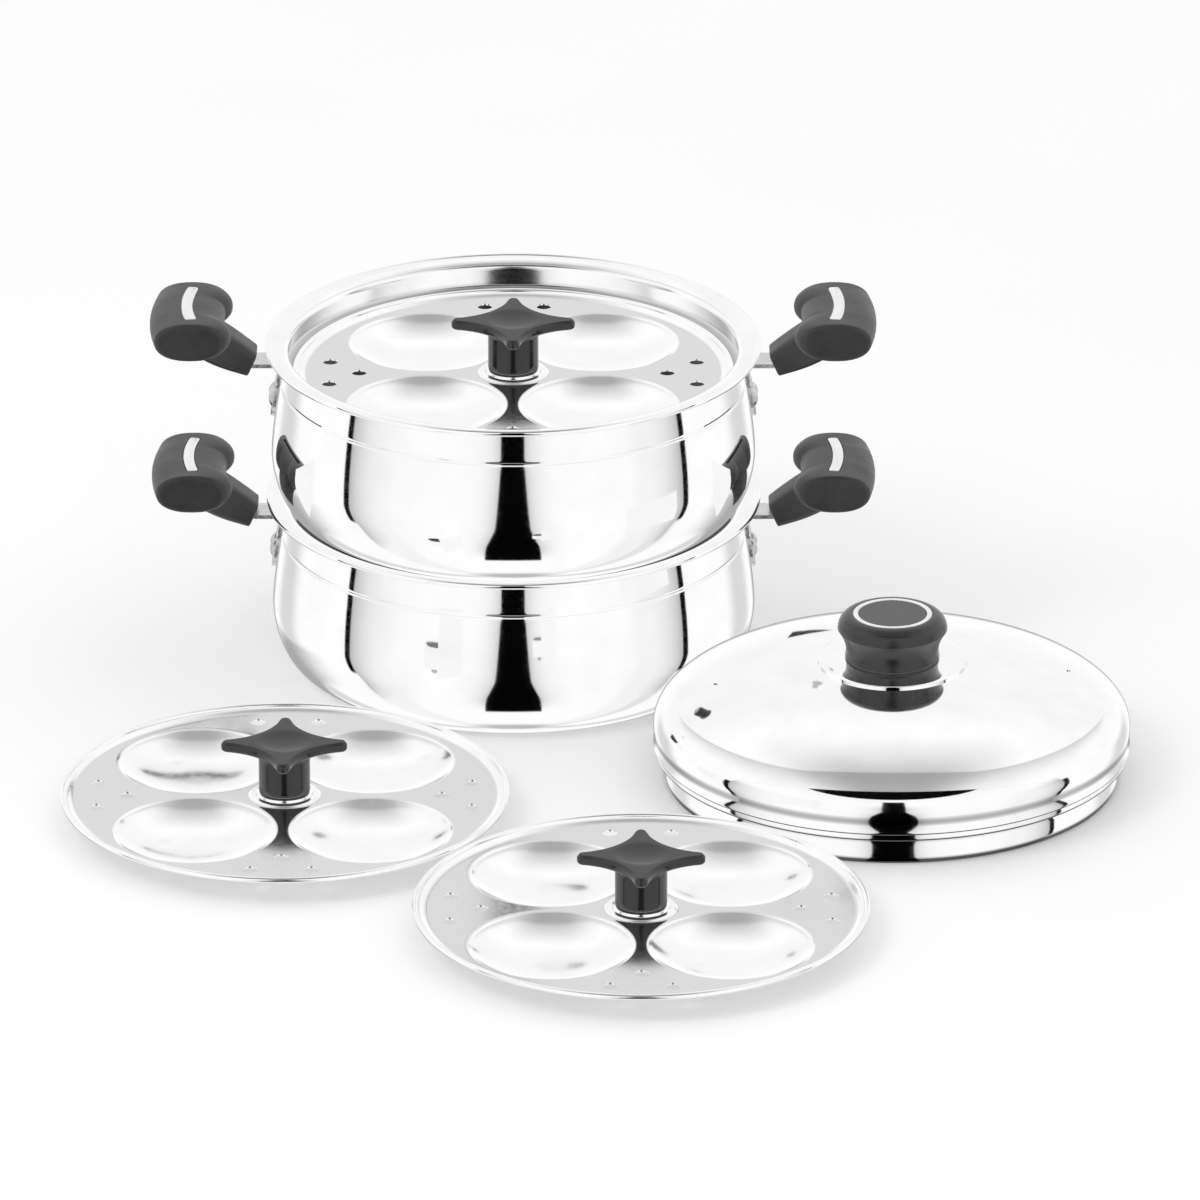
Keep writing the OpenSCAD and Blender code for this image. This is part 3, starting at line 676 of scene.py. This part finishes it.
def make_star(name, at):
    """The star and its column, as two skins."""
    n = 320
    outline = star_outline(n)
    z0 = washer_t + snug + column_h
    zt = z0 + star_t
    base = at[2] + knob_z
    rings = []

    def ring(pts, z):
        rings.append([(at[0] + p[0], at[1] + p[1], base + z) for p in pts])

    def disc(r):
        return np.array([(r * cos(a), r * sin(a)) for a in full(n)[:-1]])

    # Column, and its flare under the star
    ring(disc(column_r - 0.6), washer_t + snug)
    ring(disc(column_r), washer_t + snug + 0.6)
    for i in range(6):
        ring(disc(column_r), washer_t + snug + 0.6 + (column_h - 4.4) * (i + 1) / 6)
    for a in quarter(8):
        ring(disc(column_r + 2.2 * (1 - cos(a))), z0 - 3.2 + 3.2 * sin(a))
    column = Mesh()
    column.rings(rings)
    rings.clear()
    # Star, from its underside over the rounded edge to the dish on top
    under = offset(outline, 2.4)
    flare = disc(column_r + 2.0)
    ring(flare, z0 - 0.3)
    ring(flare, z0)
    for t in parts(5):
        ring(flare * (1 - t) + under * t, z0)
    for a in quarter(8):
        ring(offset(outline, 2.4 * (1 - sin(a))), z0 + 1.9 * (1 - cos(a)))
    for d, drop in ((0, 1.8), (0, 1.5), (0.06, 1.35), (0.2, 1.15), (1.0, 0.2), (1.15, 0.06), (1.35, 0)):
        ring(offset(outline, d), zt - drop)
    top = offset(outline, 1.5)
    ring(top, zt)
    edge = disc(dish_r + 0.35)
    for t in parts(5):
        ring(top * (1 - t) + edge * t, zt)
    sphere = (dish_r ** 2 + dish_depth ** 2) / (2 * dish_depth)
    for i in range(1, 12):
        r = dish_r * (1 - i / 12) + 0.1
        ring(disc(r), zt - dish_depth + sphere - sqrt(sphere ** 2 - r ** 2))
    m = Mesh()
    m.rings(rings)
    return m.build(name, sharp=50), column.build(name + "_column", sharp=50)


def make_washer(name, at):
    """The steel washer under a column."""
    prof = [(2.6, 0), (washer_r - 0.2, 0), (washer_r, 0.2), (washer_r, washer_t - 0.55),
            (washer_r - 0.18, washer_t - 0.15), (washer_r - 0.6, washer_t), (2.6, washer_t), (2.6, 0)]
    return turned(name, prof, 128, (at[0], at[1], at[2] + knob_z))


PLATES = (("upper", "upper_plate_body"), ("left", "left_plate_body"), ("front", "front_plate_body"))
for side, body in PLATES:
    where = place(side + "_plate")
    p = make_plate(side + "_plate_sheet", where)
    finish_piece(p, body, plate_finish(side + "_plate_steel", where[2]), "plate_steel", side + "_plate")
    star, column = make_star(side + "_star_knob", where)
    finish_piece(star, body, star_black, "knob_phenolic", side + "_plate_knob")
    finish_piece(column, body, star_black, "knob_phenolic", side + "_plate_knob", mirrored=True)
    w = make_washer(side + "_knob_washer", where)
    finish_piece(w, body, plate_steel, "plate_steel", side + "_plate_washer")


# Lid
def lid_profile():
    """Outer profile of the lid, from the skirt's foot to its middle."""
    prof = [(skirt_r - 0.8, 0), (skirt_r - 0.45, 0.25), (skirt_r - 0.2, 1), (skirt_r - 0.05, 2), (skirt_r, 3)]
    prof += [(skirt_r, 3 + (skirt_h - 4.2) * i / 4) for i in range(1, 5)]
    for a in quarter(6):
        prof.append((skirt_r + 1.0 * (1 - cos(a)), skirt_h - 1.2 + 1.3 * sin(a)))
    for a in quarter(6, 0):
        prof.append((band_r - 1.0 + 1.0 * sin(a), skirt_h + 0.3 + 1.0 * (1 - cos(a))))
    prof += [(band_r, skirt_h + 1.3 + (edge_z - skirt_h - 1.3) * i / 4) for i in range(1, 5)]
    # The edge steps out from the band and curls in a little on its way up to the dome
    step = 0.9
    for a in quarter(8):
        prof.append((band_r + step * sin(a), edge_z + step * (1 - cos(a))))
    for t in parts(16):
        prof.append((band_r + step - 0.5 * (1 - t) * sin(pi * t),
                     edge_z + step + (edge_h - step) * t))
    for i in range(1, 97):
        a = pi / 2 * (i / 96) ** 1.3
        r = dome_flat_r + (dome_r - 0.001 - dome_flat_r) * cos(a)
        prof.append((r, dome_height(r)))
    return prof + [(10.0, lid_top), (2.6, lid_top)]


def open_patch(bm, at, c):
    """Removes the dome's faces round a vent and gives the outline of the gap they leave."""
    def near(f):
        x, y, z = (k / MM for k in f.calc_center_median())
        return z > at[2] + dome_z + 1 and np.hypot(x - at[0] - c[0], y - at[1] - c[1]) < vent_patch_r

    doomed = [f for f in bm.faces if near(f)]
    count = {}
    for f in doomed:
        for e in f.edges:
            count[e] = count.get(e, 0) + 1
    edges = [e for e, k in count.items() if k == 1]
    following = {}
    for e in edges:
        for u, v in ((e.verts[0], e.verts[1]), (e.verts[1], e.verts[0])):
            following.setdefault(u, []).append(v)
    start = edges[0].verts[0]
    loop, before, now = [start], None, start
    while True:
        after = [v for v in following[now] if v != before][0]
        if after == start:
            break
        loop.append(after)
        before, now = now, after
    outline = [(v.co[0] / MM - at[0], v.co[1] / MM - at[1]) for v in loop]
    bmesh.ops.delete(bm, geom=doomed, context="FACES")
    return outline


def make_lid(at):
    """The lid's sheet, with a round vent let into the dome at each side."""
    whole = turned("lid_shell_tmp", lid_profile(), 288, at)
    bm = bmesh.new()
    bm.from_mesh(whole.data)
    patches = []
    for side in (0, 180):
        a = radians(vent_az + side)
        c = np.array([vent_r * cos(a), vent_r * sin(a)])
        patches.append((open_patch(bm, at, c), tuple(c)))
    skin = Mesh()
    bm.verts.ensure_lookup_table()
    skin.add([tuple(x / MM for x in v.co) for v in bm.verts],
             [tuple(v.index for v in f.verts) for f in bm.faces])
    bm.free()
    bpy.data.objects.remove(whole)
    for loop, c in patches:
        skin.web([loop, circle(c, vent_d / 2, 32), circle(c, vent_d / 2 + 0.5, 32, 0.1)],
                 [(c, vent_d / 2 * 0.99)], dome_height, at)
    o = skin.build("lid_dome", merge=3e-6)
    aim(o, 1, lambda p: p.center[2] + p.area)
    thicken(o, lid_wall)
    return o


lid_at = place("lid")
finish_piece(make_lid(lid_at), "lid_body", lid_steel, "lid_steel", "lid")


def make_flange(at):
    """The steel disc between the dome and the knob."""
    steps = [flange_r - (flange_r - dome_flat_r) * i / 8 for i in range(9)]
    under = [(r, dome_height(r) + snug) for r in steps]
    edge = dome_height(flange_r) + snug
    top = lid_top + snug + flange_t
    rise = top - edge - 1.6
    inner = knob_foot_r - 2
    cover = [(inner + (flange_r - inner) * sin(a), top - rise * (1 - cos(a))) for a in quarter(32, 0)]
    z = cover[-1][1]
    nose = [(flange_r, z - (z - edge) * i / 8) for i in range(1, 8)]
    prof = [(2.6, lid_top + snug)] + under[::-1] + [(flange_r, edge + 0.1)] + nose[::-1] + cover[::-1] + [
        (2.6, top), (2.6, lid_top + snug)]
    return turned("lid_flange_disc", prof, 160, at)


finish_piece(make_flange(lid_at), "lid_body", lid_steel, "lid_steel", "lid_flange")


def make_knob(at):
    """The mushroom knob, with the recess for its ring."""
    wide = 0.66 * knob_h  # height of the widest place
    prof = [(2.6, 0), (knob_foot_r - 0.6, 0), (knob_foot_r - 0.2, 0.18), (knob_foot_r, 0.6)]
    for t in parts(40, 0):
        prof.append((knob_waist_r + (knob_foot_r - knob_waist_r) * (1 - t) ** 2
                     + (knob_r - knob_waist_r) * t ** 1.6, 1.2 + (wide - 1.2) * t))
    for a in quarter(30):
        prof.append((knob_r - (knob_r - ring_r - 0.6) * (1 - cos(a)),
                     wide + (knob_h - wide) * sin(a)))
    ri, ro = ring_r - ring_w - snug, ring_r + snug
    prof += [(ro, knob_h), (ro, knob_h - ring_in), (ri, knob_h - ring_in), (ri, knob_h - 0.15),
             (ri - 0.15, knob_h), (ri - 3, knob_h), (0, knob_h)]
    return turned("lid_knob_turned", prof, 160, (at[0], at[1], at[2] + knob_base + snug), 42)


finish_piece(make_knob(lid_at), "lid_body", knob_black, "knob_phenolic", "lid_knob", mirrored=True)


def make_lid_fixing(at):
    """Washer and pan-head screw under the middle of the dome."""
    disc_r, disc_t, head_r, head_h, shank_r = 8.0, 1.0, 5.0, 2.5, 2.0
    under = lid_top - lid_wall - snug - disc_t
    washer = [(2.2, under), (disc_r, under), (disc_r, under + disc_t), (2.2, under + disc_t), (2.2, under)]
    screw = [(0, under - head_h)]
    screw += [(head_r * sin(a), under - 0.7 - (head_h - 0.7) * cos(a)) for a in quarter(8)]
    screw += [(head_r, under - 0.1), (shank_r, under - 0.1), (shank_r, under + 14), (0, under + 14)]
    return turned("lid_washer_disc", washer, 64, at), turned("lid_pan_screw", screw, 48, at)


for fixing, replaced in zip(make_lid_fixing(lid_at), ("lid_washer", "lid_screw")):
    finish_piece(fixing, "lid_body", fastener_steel, "fastener_steel", replaced)


def make_ring(at):
    """The steel ring let into the knob's top."""
    low = knob_h - ring_in + snug
    high = low + ring_in + 0.2
    ri, ro = ring_r - ring_w, ring_r
    prof = [(ri, low), (ro, low), (ro, high - 0.3)]
    for i in range(1, 9):
        a = pi * i / 9
        prof.append(((ri + ro) / 2 + (ro - ri) / 2 * cos(a), high - 0.3 + 0.3 * sin(a)))
    prof += [(ri, high - 0.3), (ri, low)]
    return turned("lid_knob_inlaid_ring", prof, 160, (at[0], at[1], at[2] + knob_base))


finish_piece(make_ring(lid_at), "lid_body", inlay_steel, "inlay_steel", "lid_knob_ring")


# Handles
def oval(n, e):
    """A superellipse of exponent e, from -1 to 1 both ways."""
    pts = []
    for i in range(n):
        c, s = cos(2 * pi * i / n), sin(2 * pi * i / n)
        pts.append((copysign(abs(c) ** (2 / e), c), copysign(abs(s) ** (2 / e), s)))
    return pts


def grip_ring(v):
    """Section of the grip's bar at v along it."""
    half = grip_len / 2
    past = min(1.0, max(0.0, abs(v) - half + end_round) / end_round)
    cut = end_round * (1 - sqrt(1 - past * past))
    drawn = hook * max(0.0, 1 - ((abs(v) - 0.7 * half) / (0.3 * half)) ** 2)
    out = grip_out - bulge * (v / half) ** 2 - cut
    inner = grip_out - grip_depth - drawn + cut
    deep, thick = (out - inner) / 2, grip_t / 2 - cut
    return [((out + inner) / 2 + deep * p[0], v, grip_z + thick * p[1]) for p in oval(96, 2.3)]


def neck_ring(t):
    """Section of the grip's neck, from the bracket (0) to the bar (1)."""
    wide = neck_w / 2 + neck_spread * t * t
    thick = neck_t / 2 + neck_swell * sin(radians(150 * t))
    lean = radians(arm_tilt * (1 - t))
    return [(neck_x + neck_len * t - thick * p[1] * sin(lean), -wide * p[0],
             neck_z + neck_rise * t + thick * p[1] * cos(lean)) for p in oval(96, 5 - 2.2 * t)]


def inlay_outline(half, r):
    """Outline of the bowed inlay, a band of half-width r along an arc 2 * half long."""
    middle = [(grip_x - inlay_bow * (v / half) ** 2, v) for v in np.linspace(-half, half, 33)]
    left, right = [], []
    for k, (x, v) in enumerate(middle):
        a, b = middle[max(0, k - 1)], middle[min(len(middle) - 1, k + 1)]
        run = np.array((b[0] - a[0], b[1] - a[1]))
        nx, ny = np.array((run[1], -run[0])) / np.linalg.norm(run)
        right.append((x + nx * r, v + ny * r))
        left.append((x - nx * r, v - ny * r))
    turn = atan2(middle[-2][0] - middle[-1][0], middle[-1][1] - middle[-2][1])
    caps = []
    for at, start in ((middle[-1], turn), (middle[0], pi - turn)):
        cap = []
        for k in range(1, 16):
            a = pi * k / 16
            c, q = cos(a), sin(a)
            u, w = copysign(abs(c) ** 0.55, c) * r, q ** 0.55 * r
            cap.append((at[0] + u * cos(start) - w * sin(start),
                        at[1] + u * sin(start) + w * cos(start)))
        caps.append(cap)
    return right + caps[0] + left[::-1] + caps[1]


def carve(o, tool, operation):
    """Joins a tool to an object or cuts it out of it, and removes the tool."""
    m = o.modifiers.new("carve", "BOOLEAN")
    m.operation, m.object, m.solver = operation, tool, "EXACT"
    apply(o)
    bpy.data.objects.remove(tool)


def make_grip():
    """Bar and neck as one soft-edged moulding, with the slot for the inlay."""
    half = grip_len / 2
    stations = [-half + 0.1 * i for i in range(16)]
    stations += list(np.linspace(-half + 1.6, half - 1.6, 60))
    stations += [half - 1.5 + 0.1 * i for i in range(16)]
    bar = Mesh()
    bar.rings([grip_ring(v) for v in stations])
    grip = bar.build("grip_bar")
    neck = Mesh()
    neck.rings([neck_ring(t) for t in parts(24, 0)])
    carve(grip, neck.build("grip_neck"), "UNION")
    m = grip.modifiers.new("even", "REMESH")
    m.mode, m.voxel_size = "VOXEL", 0.0006
    m = grip.modifiers.new("soft", "SMOOTH")
    m.factor, m.iterations = 0.5, 4
    apply(grip)
    slot = Mesh()
    pts = inlay_outline(inlay_len / 2 - inlay_w / 2, inlay_w / 2 + 0.35)
    slot.rings([[(x, y, z) for x, y in pts] for z in (grip_top - inlay_t, grip_top + 5)])
    carve(grip, slot.build("grip_cut"), "DIFFERENCE")
    smooth(grip, 50)
    return grip


def make_inlay():
    """The bowed steel strip that lies in the slot."""
    m = Mesh()
    flat = inlay_len / 2 - inlay_w / 2
    low, high = grip_top - inlay_t, grip_top + 0.15
    rings = []
    for r, z in ((inlay_w / 2, low), (inlay_w / 2, high - 0.3), (inlay_w / 2 - 0.1, high - 0.1),
                 (inlay_w / 2 - 0.3, high)):
        rings.append([(x, y, z) for x, y in inlay_outline(flat, r)])
    m.rings(rings)
    return m.build("inlay_strip")


grip_mesh = make_grip()
inlay_mesh = make_inlay()


def copy_to(src, name, side, lift):
    """A copy of the right-hand piece, mirrored for side -1 and raised to its pot."""
    me = src.data.copy()
    co = np.zeros(len(me.vertices) * 3)
    me.vertices.foreach_get("co", co)
    co = co.reshape(-1, 3)
    co[:, 0] *= side
    co[:, 2] += lift * MM
    me.vertices.foreach_set("co", co.ravel())
    if side < 0:
        me.flip_normals()
    o = put(name, me)
    smooth(o, 50)
    return o


for pot, lift in (("lower", 0.0), ("upper", upper_z)):
    for side, sign in (("left", -1), ("right", 1)):
        grip = copy_to(grip_mesh, f"{pot}_{side}_grip_moulded", sign, lift)
        finish_piece(grip, pot + "_pot_body", handle_black, "handle_phenolic", f"{pot}_{side}_grip",
                     mirrored=pot == "lower")
        inlay = copy_to(inlay_mesh, f"{pot}_{side}_inlay_strip", sign, lift)
        finish_piece(inlay, pot + "_pot_body", inlay_steel, "inlay_steel", f"{pot}_{side}_inlay")
bpy.data.objects.remove(grip_mesh)
bpy.data.objects.remove(inlay_mesh)


def make_bracket(name, side, lift):
    """A bent strip from its round pad up the wall, out under the lip and up into the grip."""
    half = bracket_t / 2
    upright_n = 40
    path = [(wall_radius(z) + snug + half, z)
            for z in np.linspace(rivet_z - pad_r + 0.15, arm_top - bend_r, upright_n)]
    bend_x = path[-1][0] + bend_r - half
    for a in quarter(8):
        path.append((bend_x - (bend_r - half) * cos(a),
                     arm_top - bend_r + (bend_r - half) * sin(a)))
    path.append((neck_x - 1.2, neck_z))
    tilt = radians(arm_tilt)
    path += [(neck_x - 0.5, neck_z + 0.03), (neck_x + 0.6, neck_z + 0.27)]
    path.append((neck_x + arm_in * cos(tilt), neck_z + arm_in * sin(tilt)))
    rings = []
    for k, (x, z) in enumerate(path):
        a, b = path[max(0, k - 1)], path[min(len(path) - 1, k + 1)]
        run = np.array((b[0] - a[0], b[1] - a[1]))
        run /= np.linalg.norm(run)
        off = abs(z - rivet_z)
        wide = sqrt(max(0.0, pad_r ** 2 - off ** 2)) if off < pad_r else 0.0
        if z > rivet_z or k > upright_n:
            wide = max(wide, arm_w / 2)
        cut = 0.25
        ring = []
        for u, v in ((-wide, -half + cut), (-wide + cut, -half), (wide - cut, -half), (wide, -half + cut),
                     (wide, half - cut), (wide - cut, half), (-wide + cut, half), (-wide, half - cut)):
            ring.append((side * (x + v * run[1]), u, lift + z - v * run[0]))
        rings.append(ring)
    m = Mesh()
    m.rings(rings)
    return m.build(name, sharp=30)


def make_rivets(name, lift):
    """Two domed heads on each pad."""
    m = Mesh()
    seat = bracket_t + 0.15
    ball = ((rivet_d / 2) ** 2 + rivet_cap ** 2) / (2 * rivet_cap)
    radius = wall_radius(rivet_z)
    tilt = atan2(wall_radius(rivet_z - 1) - wall_radius(rivet_z + 1), 2)
    turn = asin(rivet_half / radius)
    profile = [(rivet_d / 2 - 0.15, seat - 0.9), (rivet_d / 2, seat - 0.2), (rivet_d / 2, seat)]
    for k in range(1, 10):
        up = rivet_cap * k / 10
        profile.append((sqrt(max(0.01, ball ** 2 - (ball - rivet_cap + up) ** 2)), seat + up))
    profile.append((0.8, seat + rivet_cap - 0.02))
    for side in (0, pi):
        for az in (side - turn, side + turn):
            out = Vector((cos(az) * cos(tilt), sin(az) * cos(tilt), sin(tilt)))
            right = Vector((-sin(az), cos(az), 0))
            up = out.cross(right)
            start = Vector((radius * cos(az), radius * sin(az), lift + rivet_z))
            rings = []
            for d, h in profile:
                rings.append([tuple(start + out * h + right * (d * cos(2 * pi * q / 40))
                                    + up * (d * sin(2 * pi * q / 40))) for q in range(40)])
            m.rings(rings)
    return m.build(name, sharp=40)


for pot, lift in (("lower", 0.0), ("upper", upper_z)):
    for side, sign in (("left", -1), ("right", 1)):
        strip = make_bracket(f"{pot}_{side}_bracket_strip", sign, lift)
        finish_piece(strip, pot + "_pot_body", bracket_steel, "bracket_steel", f"{pot}_{side}_bracket")
    finish_piece(make_rivets(pot + "_rivet_heads", lift), pot + "_pot_body", fastener_steel, "fastener_steel",
                 pot + "_rivets")

# CAD nodes that stay: screws under the grips and the plates
for o in frame["nodes"].values():
    if not o.hide_render:
        o.data.materials.clear()
        o.data.materials.append(fastener_steel)


# World
def build_world():
    """Plain white light, white to the camera, and a studio of dark and grey shapes that only mirrors see."""
    w = bpy.data.worlds.new("studio")
    bpy.context.scene.world = w
    w.use_nodes = True
    nt = w.node_tree
    nt.nodes.clear()
    link = nt.links.new

    def op(kind, a, b=0.0):
        return calc(nt, kind, a, b)

    def add(a, b):
        return op("ADD", a, b)

    def sub(a, b):
        return op("SUBTRACT", a, b)

    def mul(a, b):
        return op("MULTIPLY", a, b)

    def most(first, *others):
        for v in others:
            first = op("MAXIMUM", first, v)
        return first

    def step(v, a, b, lo=0.0, hi=1.0):
        """Smooth rise of v from lo at a to hi at b."""
        n = nt.nodes.new("ShaderNodeMapRange")
        n.interpolation_type = "SMOOTHSTEP"
        feed(nt, n.inputs["Value"], v)
        for k, x in (("From Min", a), ("From Max", b), ("To Min", lo), ("To Max", hi)):
            n.inputs[k].default_value = x
        return n.outputs["Result"]

    def fall(v, a, b):
        """Smooth fall of v from 1 at a to 0 at b."""
        return sub(1.0, step(v, a, b))

    def band(v, a, b, soft):
        """1 between a and b, with soft edges."""
        return mul(step(v, a - soft, a + soft), fall(v, b - soft, b + soft))

    co = nt.nodes.new("ShaderNodeTexCoord")
    sep = nt.nodes.new("ShaderNodeSeparateXYZ")
    link(co.outputs["Generated"], sep.inputs[0])
    x, y, z = sep.outputs[0], sep.outputs[1], sep.outputs[2]
    # Azimuth from the front, its size to either side, and elevation, in degrees
    deg = 180 / pi
    az = mul(op("ARCTAN2", x, mul(y, -1.0)), deg)
    turned = op("ABSOLUTE", az)
    el = mul(op("ARCSINE", z), deg)
    # Narrow dark cards at both sides
    left_card, right_card = (-86.4, -83.0), (87.0, 90.4)
    cards = most(band(az, *left_card, 0.3), band(az, *right_card, 0.3))
    cards = mul(cards, band(el, -28.0, 12.0, 2.0))
    # The dark stand in front, wider towards its foot
    half = add(5.6, mul(most(sub(-1.3, el), 0.0), 0.225))
    stand = mul(fall(sub(turned, half), -0.35, 0.35), band(el, -54.0, 38.0, 1.5))
    # The dark sheet overhead, seen where a ray meets the plane z = 1, with a soft shade behind it
    up = most(z, 0.02)
    px, py = op("DIVIDE", x, up), op("DIVIDE", y, up)
    aside = op("ABSOLUTE", px)
    over = step(z, 0.1, 0.2)
    lens = op("SQRT", most(sub(1.0, op("POWER", op("DIVIDE", px, 0.62), 2.0)), 0.0))
    front = add(sub(py, -0.42), mul(lens, 0.55))
    sheet_up = mul(mul(step(front, -0.01, 0.01), fall(py, -0.43, -0.41)), over)
    glow = mul(mul(step(py, -0.44, -0.41), fall(py, -0.1, 0.9)), fall(aside, 0.12, 0.6))
    sheet_up = most(sheet_up, mul(mul(glow, over), 0.5))
    wide = most(sub(aside, 0.35), 0.0)
    brow = add(add(0.15, mul(wide, 0.35)), mul(op("POWER", wide, 2.0), 1.5))
    behind = sub(brow, py)
    haze = mul(op("EXPONENT", mul(behind, -2.0)), step(behind, -0.02, 0.02))
    haze = mul(mul(haze, 0.35), step(z, 0.25, 0.45))
    # Grey shading towards the sides and behind
    sides = most(mul(band(turned, 128.0, 150.0, 7.0), 0.30), mul(band(az, 76.0, 89.0, 3.0), 0.20),
                 mul(band(turned, 58.0, 84.0, 6.0), 0.08))
    sides = mul(sides, fall(el, -4.0, 6.0))
    back = mul(mul(step(turned, 120.0, 160.0), band(el, 8.0, 40.0, 6.0)), 0.06)
    # Dark low down behind: the sides inside a pot and the thin edge of every curved sheet
    ahead = sub(mul(y, 0.925), mul(z, 0.38))
    under = mul(mul(step(turned, 100.0, 150.0), band(el, -42.0, -25.0, 3.0)), 0.6)
    under = most(under, mul(step(ahead, 0.95, 0.99), 0.6), mul(fall(el, -86.0, -76.0), 0.5))
    # Soft greys beside the stand and on the inner side of each card
    halo = mul(op("EXPONENT", mul(most(sub(turned, half), 0.0), -0.22)), 0.38)
    for edge, way in ((left_card[1], 1.0), (right_card[0], -1.0)):
        off = mul(sub(az, edge), way)
        fade = mul(op("EXPONENT", mul(most(off, 0.0), -0.1)), step(off, -0.3, 0.3))
        halo = most(halo, mul(fade, 0.5))
    halo = mul(halo, band(el, -46.0, 20.0, 8.0))
    shade = most(sides, back, haze, under, halo)
    dark = most(cards, stand, sheet_up)
    light = mul(sub(1.0, shade), sub(1.0, mul(dark, 0.998)))

    def background(strength):
        n = nt.nodes.new("ShaderNodeBackground")
        n.inputs["Color"].default_value = (1, 1, 1, 1)
        feed(nt, n.inputs["Strength"], strength)
        return n.outputs[0]

    path = nt.nodes.new("ShaderNodeLightPath")
    plain = background(mul(step(z, -0.3, 1.0, 0.7, 1.0), 0.95))
    seen = choose(nt, path.outputs["Is Glossy Ray"], plain, background(mul(light, 1.06)))
    out = nt.nodes.new("ShaderNodeOutputWorld")
    link(choose(nt, path.outputs["Is Camera Ray"], seen, background(1.0)), out.inputs[0])


build_world()


# Floor, mirror cards, lamp and camera
def build_floor():
    """A pale floor that mirrors don't see, with a little light of its own for the camera."""
    me = bpy.data.meshes.new("floor")
    s = 6.0  # metres each way
    me.from_pydata([(-s, -s, 0), (s, -s, 0), (s, s, 0), (-s, s, 0)], [], [(0, 1, 2, 3)])
    o = put("floor", me)
    o.location.z = -0.00005
    o.visible_glossy = False
    m, nt, b = new_mat("floor_paper")
    clouds = noise(nt, nt.nodes.new("ShaderNodeTexCoord").outputs["Object"], Scale=3.0, Detail=2.0)
    nt.links.new(tinted(nt, clouds, (0.90, 0.90, 0.90), (0.92, 0.92, 0.92)), b.inputs["Base Color"])
    b.inputs["Roughness"].default_value = 1.0
    b.inputs["Specular IOR Level"].default_value = 0.0
    path = nt.nodes.new("ShaderNodeLightPath")
    b.inputs["Emission Color"].default_value = (1, 1, 1, 1)
    nt.links.new(calc(nt, "MULTIPLY", path.outputs["Is Camera Ray"], 0.12), b.inputs["Emission Strength"])
    me.materials.append(m)


build_floor()


def build_cards():
    """White cards that only mirrors see, between the black pieces and the sheet that should not show them."""
    m = Mesh()

    def card(at, target, away, half, low, high):
        """An upright card across the line from one place to another."""
        a = atan2(target[1] - at[1], target[0] - at[0])
        (ax, ay), (bx, by) = [(at[0] + away * cos(a) - k * half * sin(a),
                               at[1] + away * sin(a) + k * half * cos(a)) for k in (-1, 1)]
        m.add([(ax, ay, low), (bx, by, low), (bx, by, high), (ax, ay, high)], [(0, 1, 2, 3)])

    lid_place = place("lid")
    plates = [place("left_plate"), place("front_plate")]
    # Half-round hoods behind the columns of the two loose plates
    for x, y, low in plates:
        low += knob_z
        arc = [radians(-20 + 220 * i / 24) for i in range(25)]
        verts = [(x + 15 * cos(a), y + 15 * sin(a), low + h) for h in (2, 20) for a in arc]
        m.add(verts, [(i, i + 1, 26 + i, 25 + i) for i in range(24)])
    for at in plates:
        card(at, lid_place, 30, 24, at[2] + 10, at[2] + 62)
    card(lid_place, (0, 0), 38, 36, 58, 96)
    # In front of the lower grips, facing the front
    for sign in (-1, 1):
        quad = [(sign * x, -grip_len / 2 - 7, z) for x, z in ((122, 68), (176, 68), (176, 106), (122, 106))]
        m.add(quad if sign > 0 else quad[::-1], [(0, 1, 2, 3)])
    # White on the front and clear from behind
    me = bpy.data.meshes.new("mirror_cards")
    me.from_pydata([tuple(c * MM for c in p) for p in m.v], [], m.f)
    o = put("mirror_cards", me)
    o.visible_camera = o.visible_diffuse = o.visible_shadow = o.visible_transmission = False
    mat = bpy.data.materials.new("card_white")
    mat.use_nodes = True
    nt = mat.node_tree
    nt.nodes.clear()
    geo = nt.nodes.new("ShaderNodeNewGeometry")
    glow = nt.nodes.new("ShaderNodeEmission")
    glow.inputs["Strength"].default_value = 1.0
    clear = nt.nodes.new("ShaderNodeBsdfTransparent")
    out = nt.nodes.new("ShaderNodeOutputMaterial")
    nt.links.new(choose(nt, geo.outputs["Backfacing"], glow.outputs[0], clear.outputs[0]), out.inputs[0])
    me.materials.append(mat)


build_cards()


def build_lamp(at, target, size, power):
    """A soft round lamp that mirrors don't see."""
    d = bpy.data.lights.new("key", "AREA")
    d.shape = "DISK"
    d.size = size
    d.energy = power
    o = put("key", d)
    o.location = at
    o.rotation_euler = (Vector(target) - Vector(at)).to_track_quat("-Z", "Y").to_euler()
    o.visible_glossy = False


build_lamp((-1.2, -1.0, 1.8), (0, -0.1, 0.05), 1.0, 6.0)


def build_camera():
    """The long lens fitted to the photograph: focal length in its pixels, and degrees of downward pitch."""
    focal, width, pitch = 13706.2, 1200, 22.341
    cam = bpy.data.cameras.new("camera")
    cam.sensor_width = 36.0
    cam.lens = 36.0 * focal / width
    cam.clip_end = 50.0
    o = put("camera", cam)
    o.location = (0.04077, -6.0, 2.4924)
    o.rotation_euler = (radians(90 - pitch), 0, 0)
    bpy.context.scene.camera = o


build_camera()
bpy.context.scene.view_settings.view_transform = "Standard"
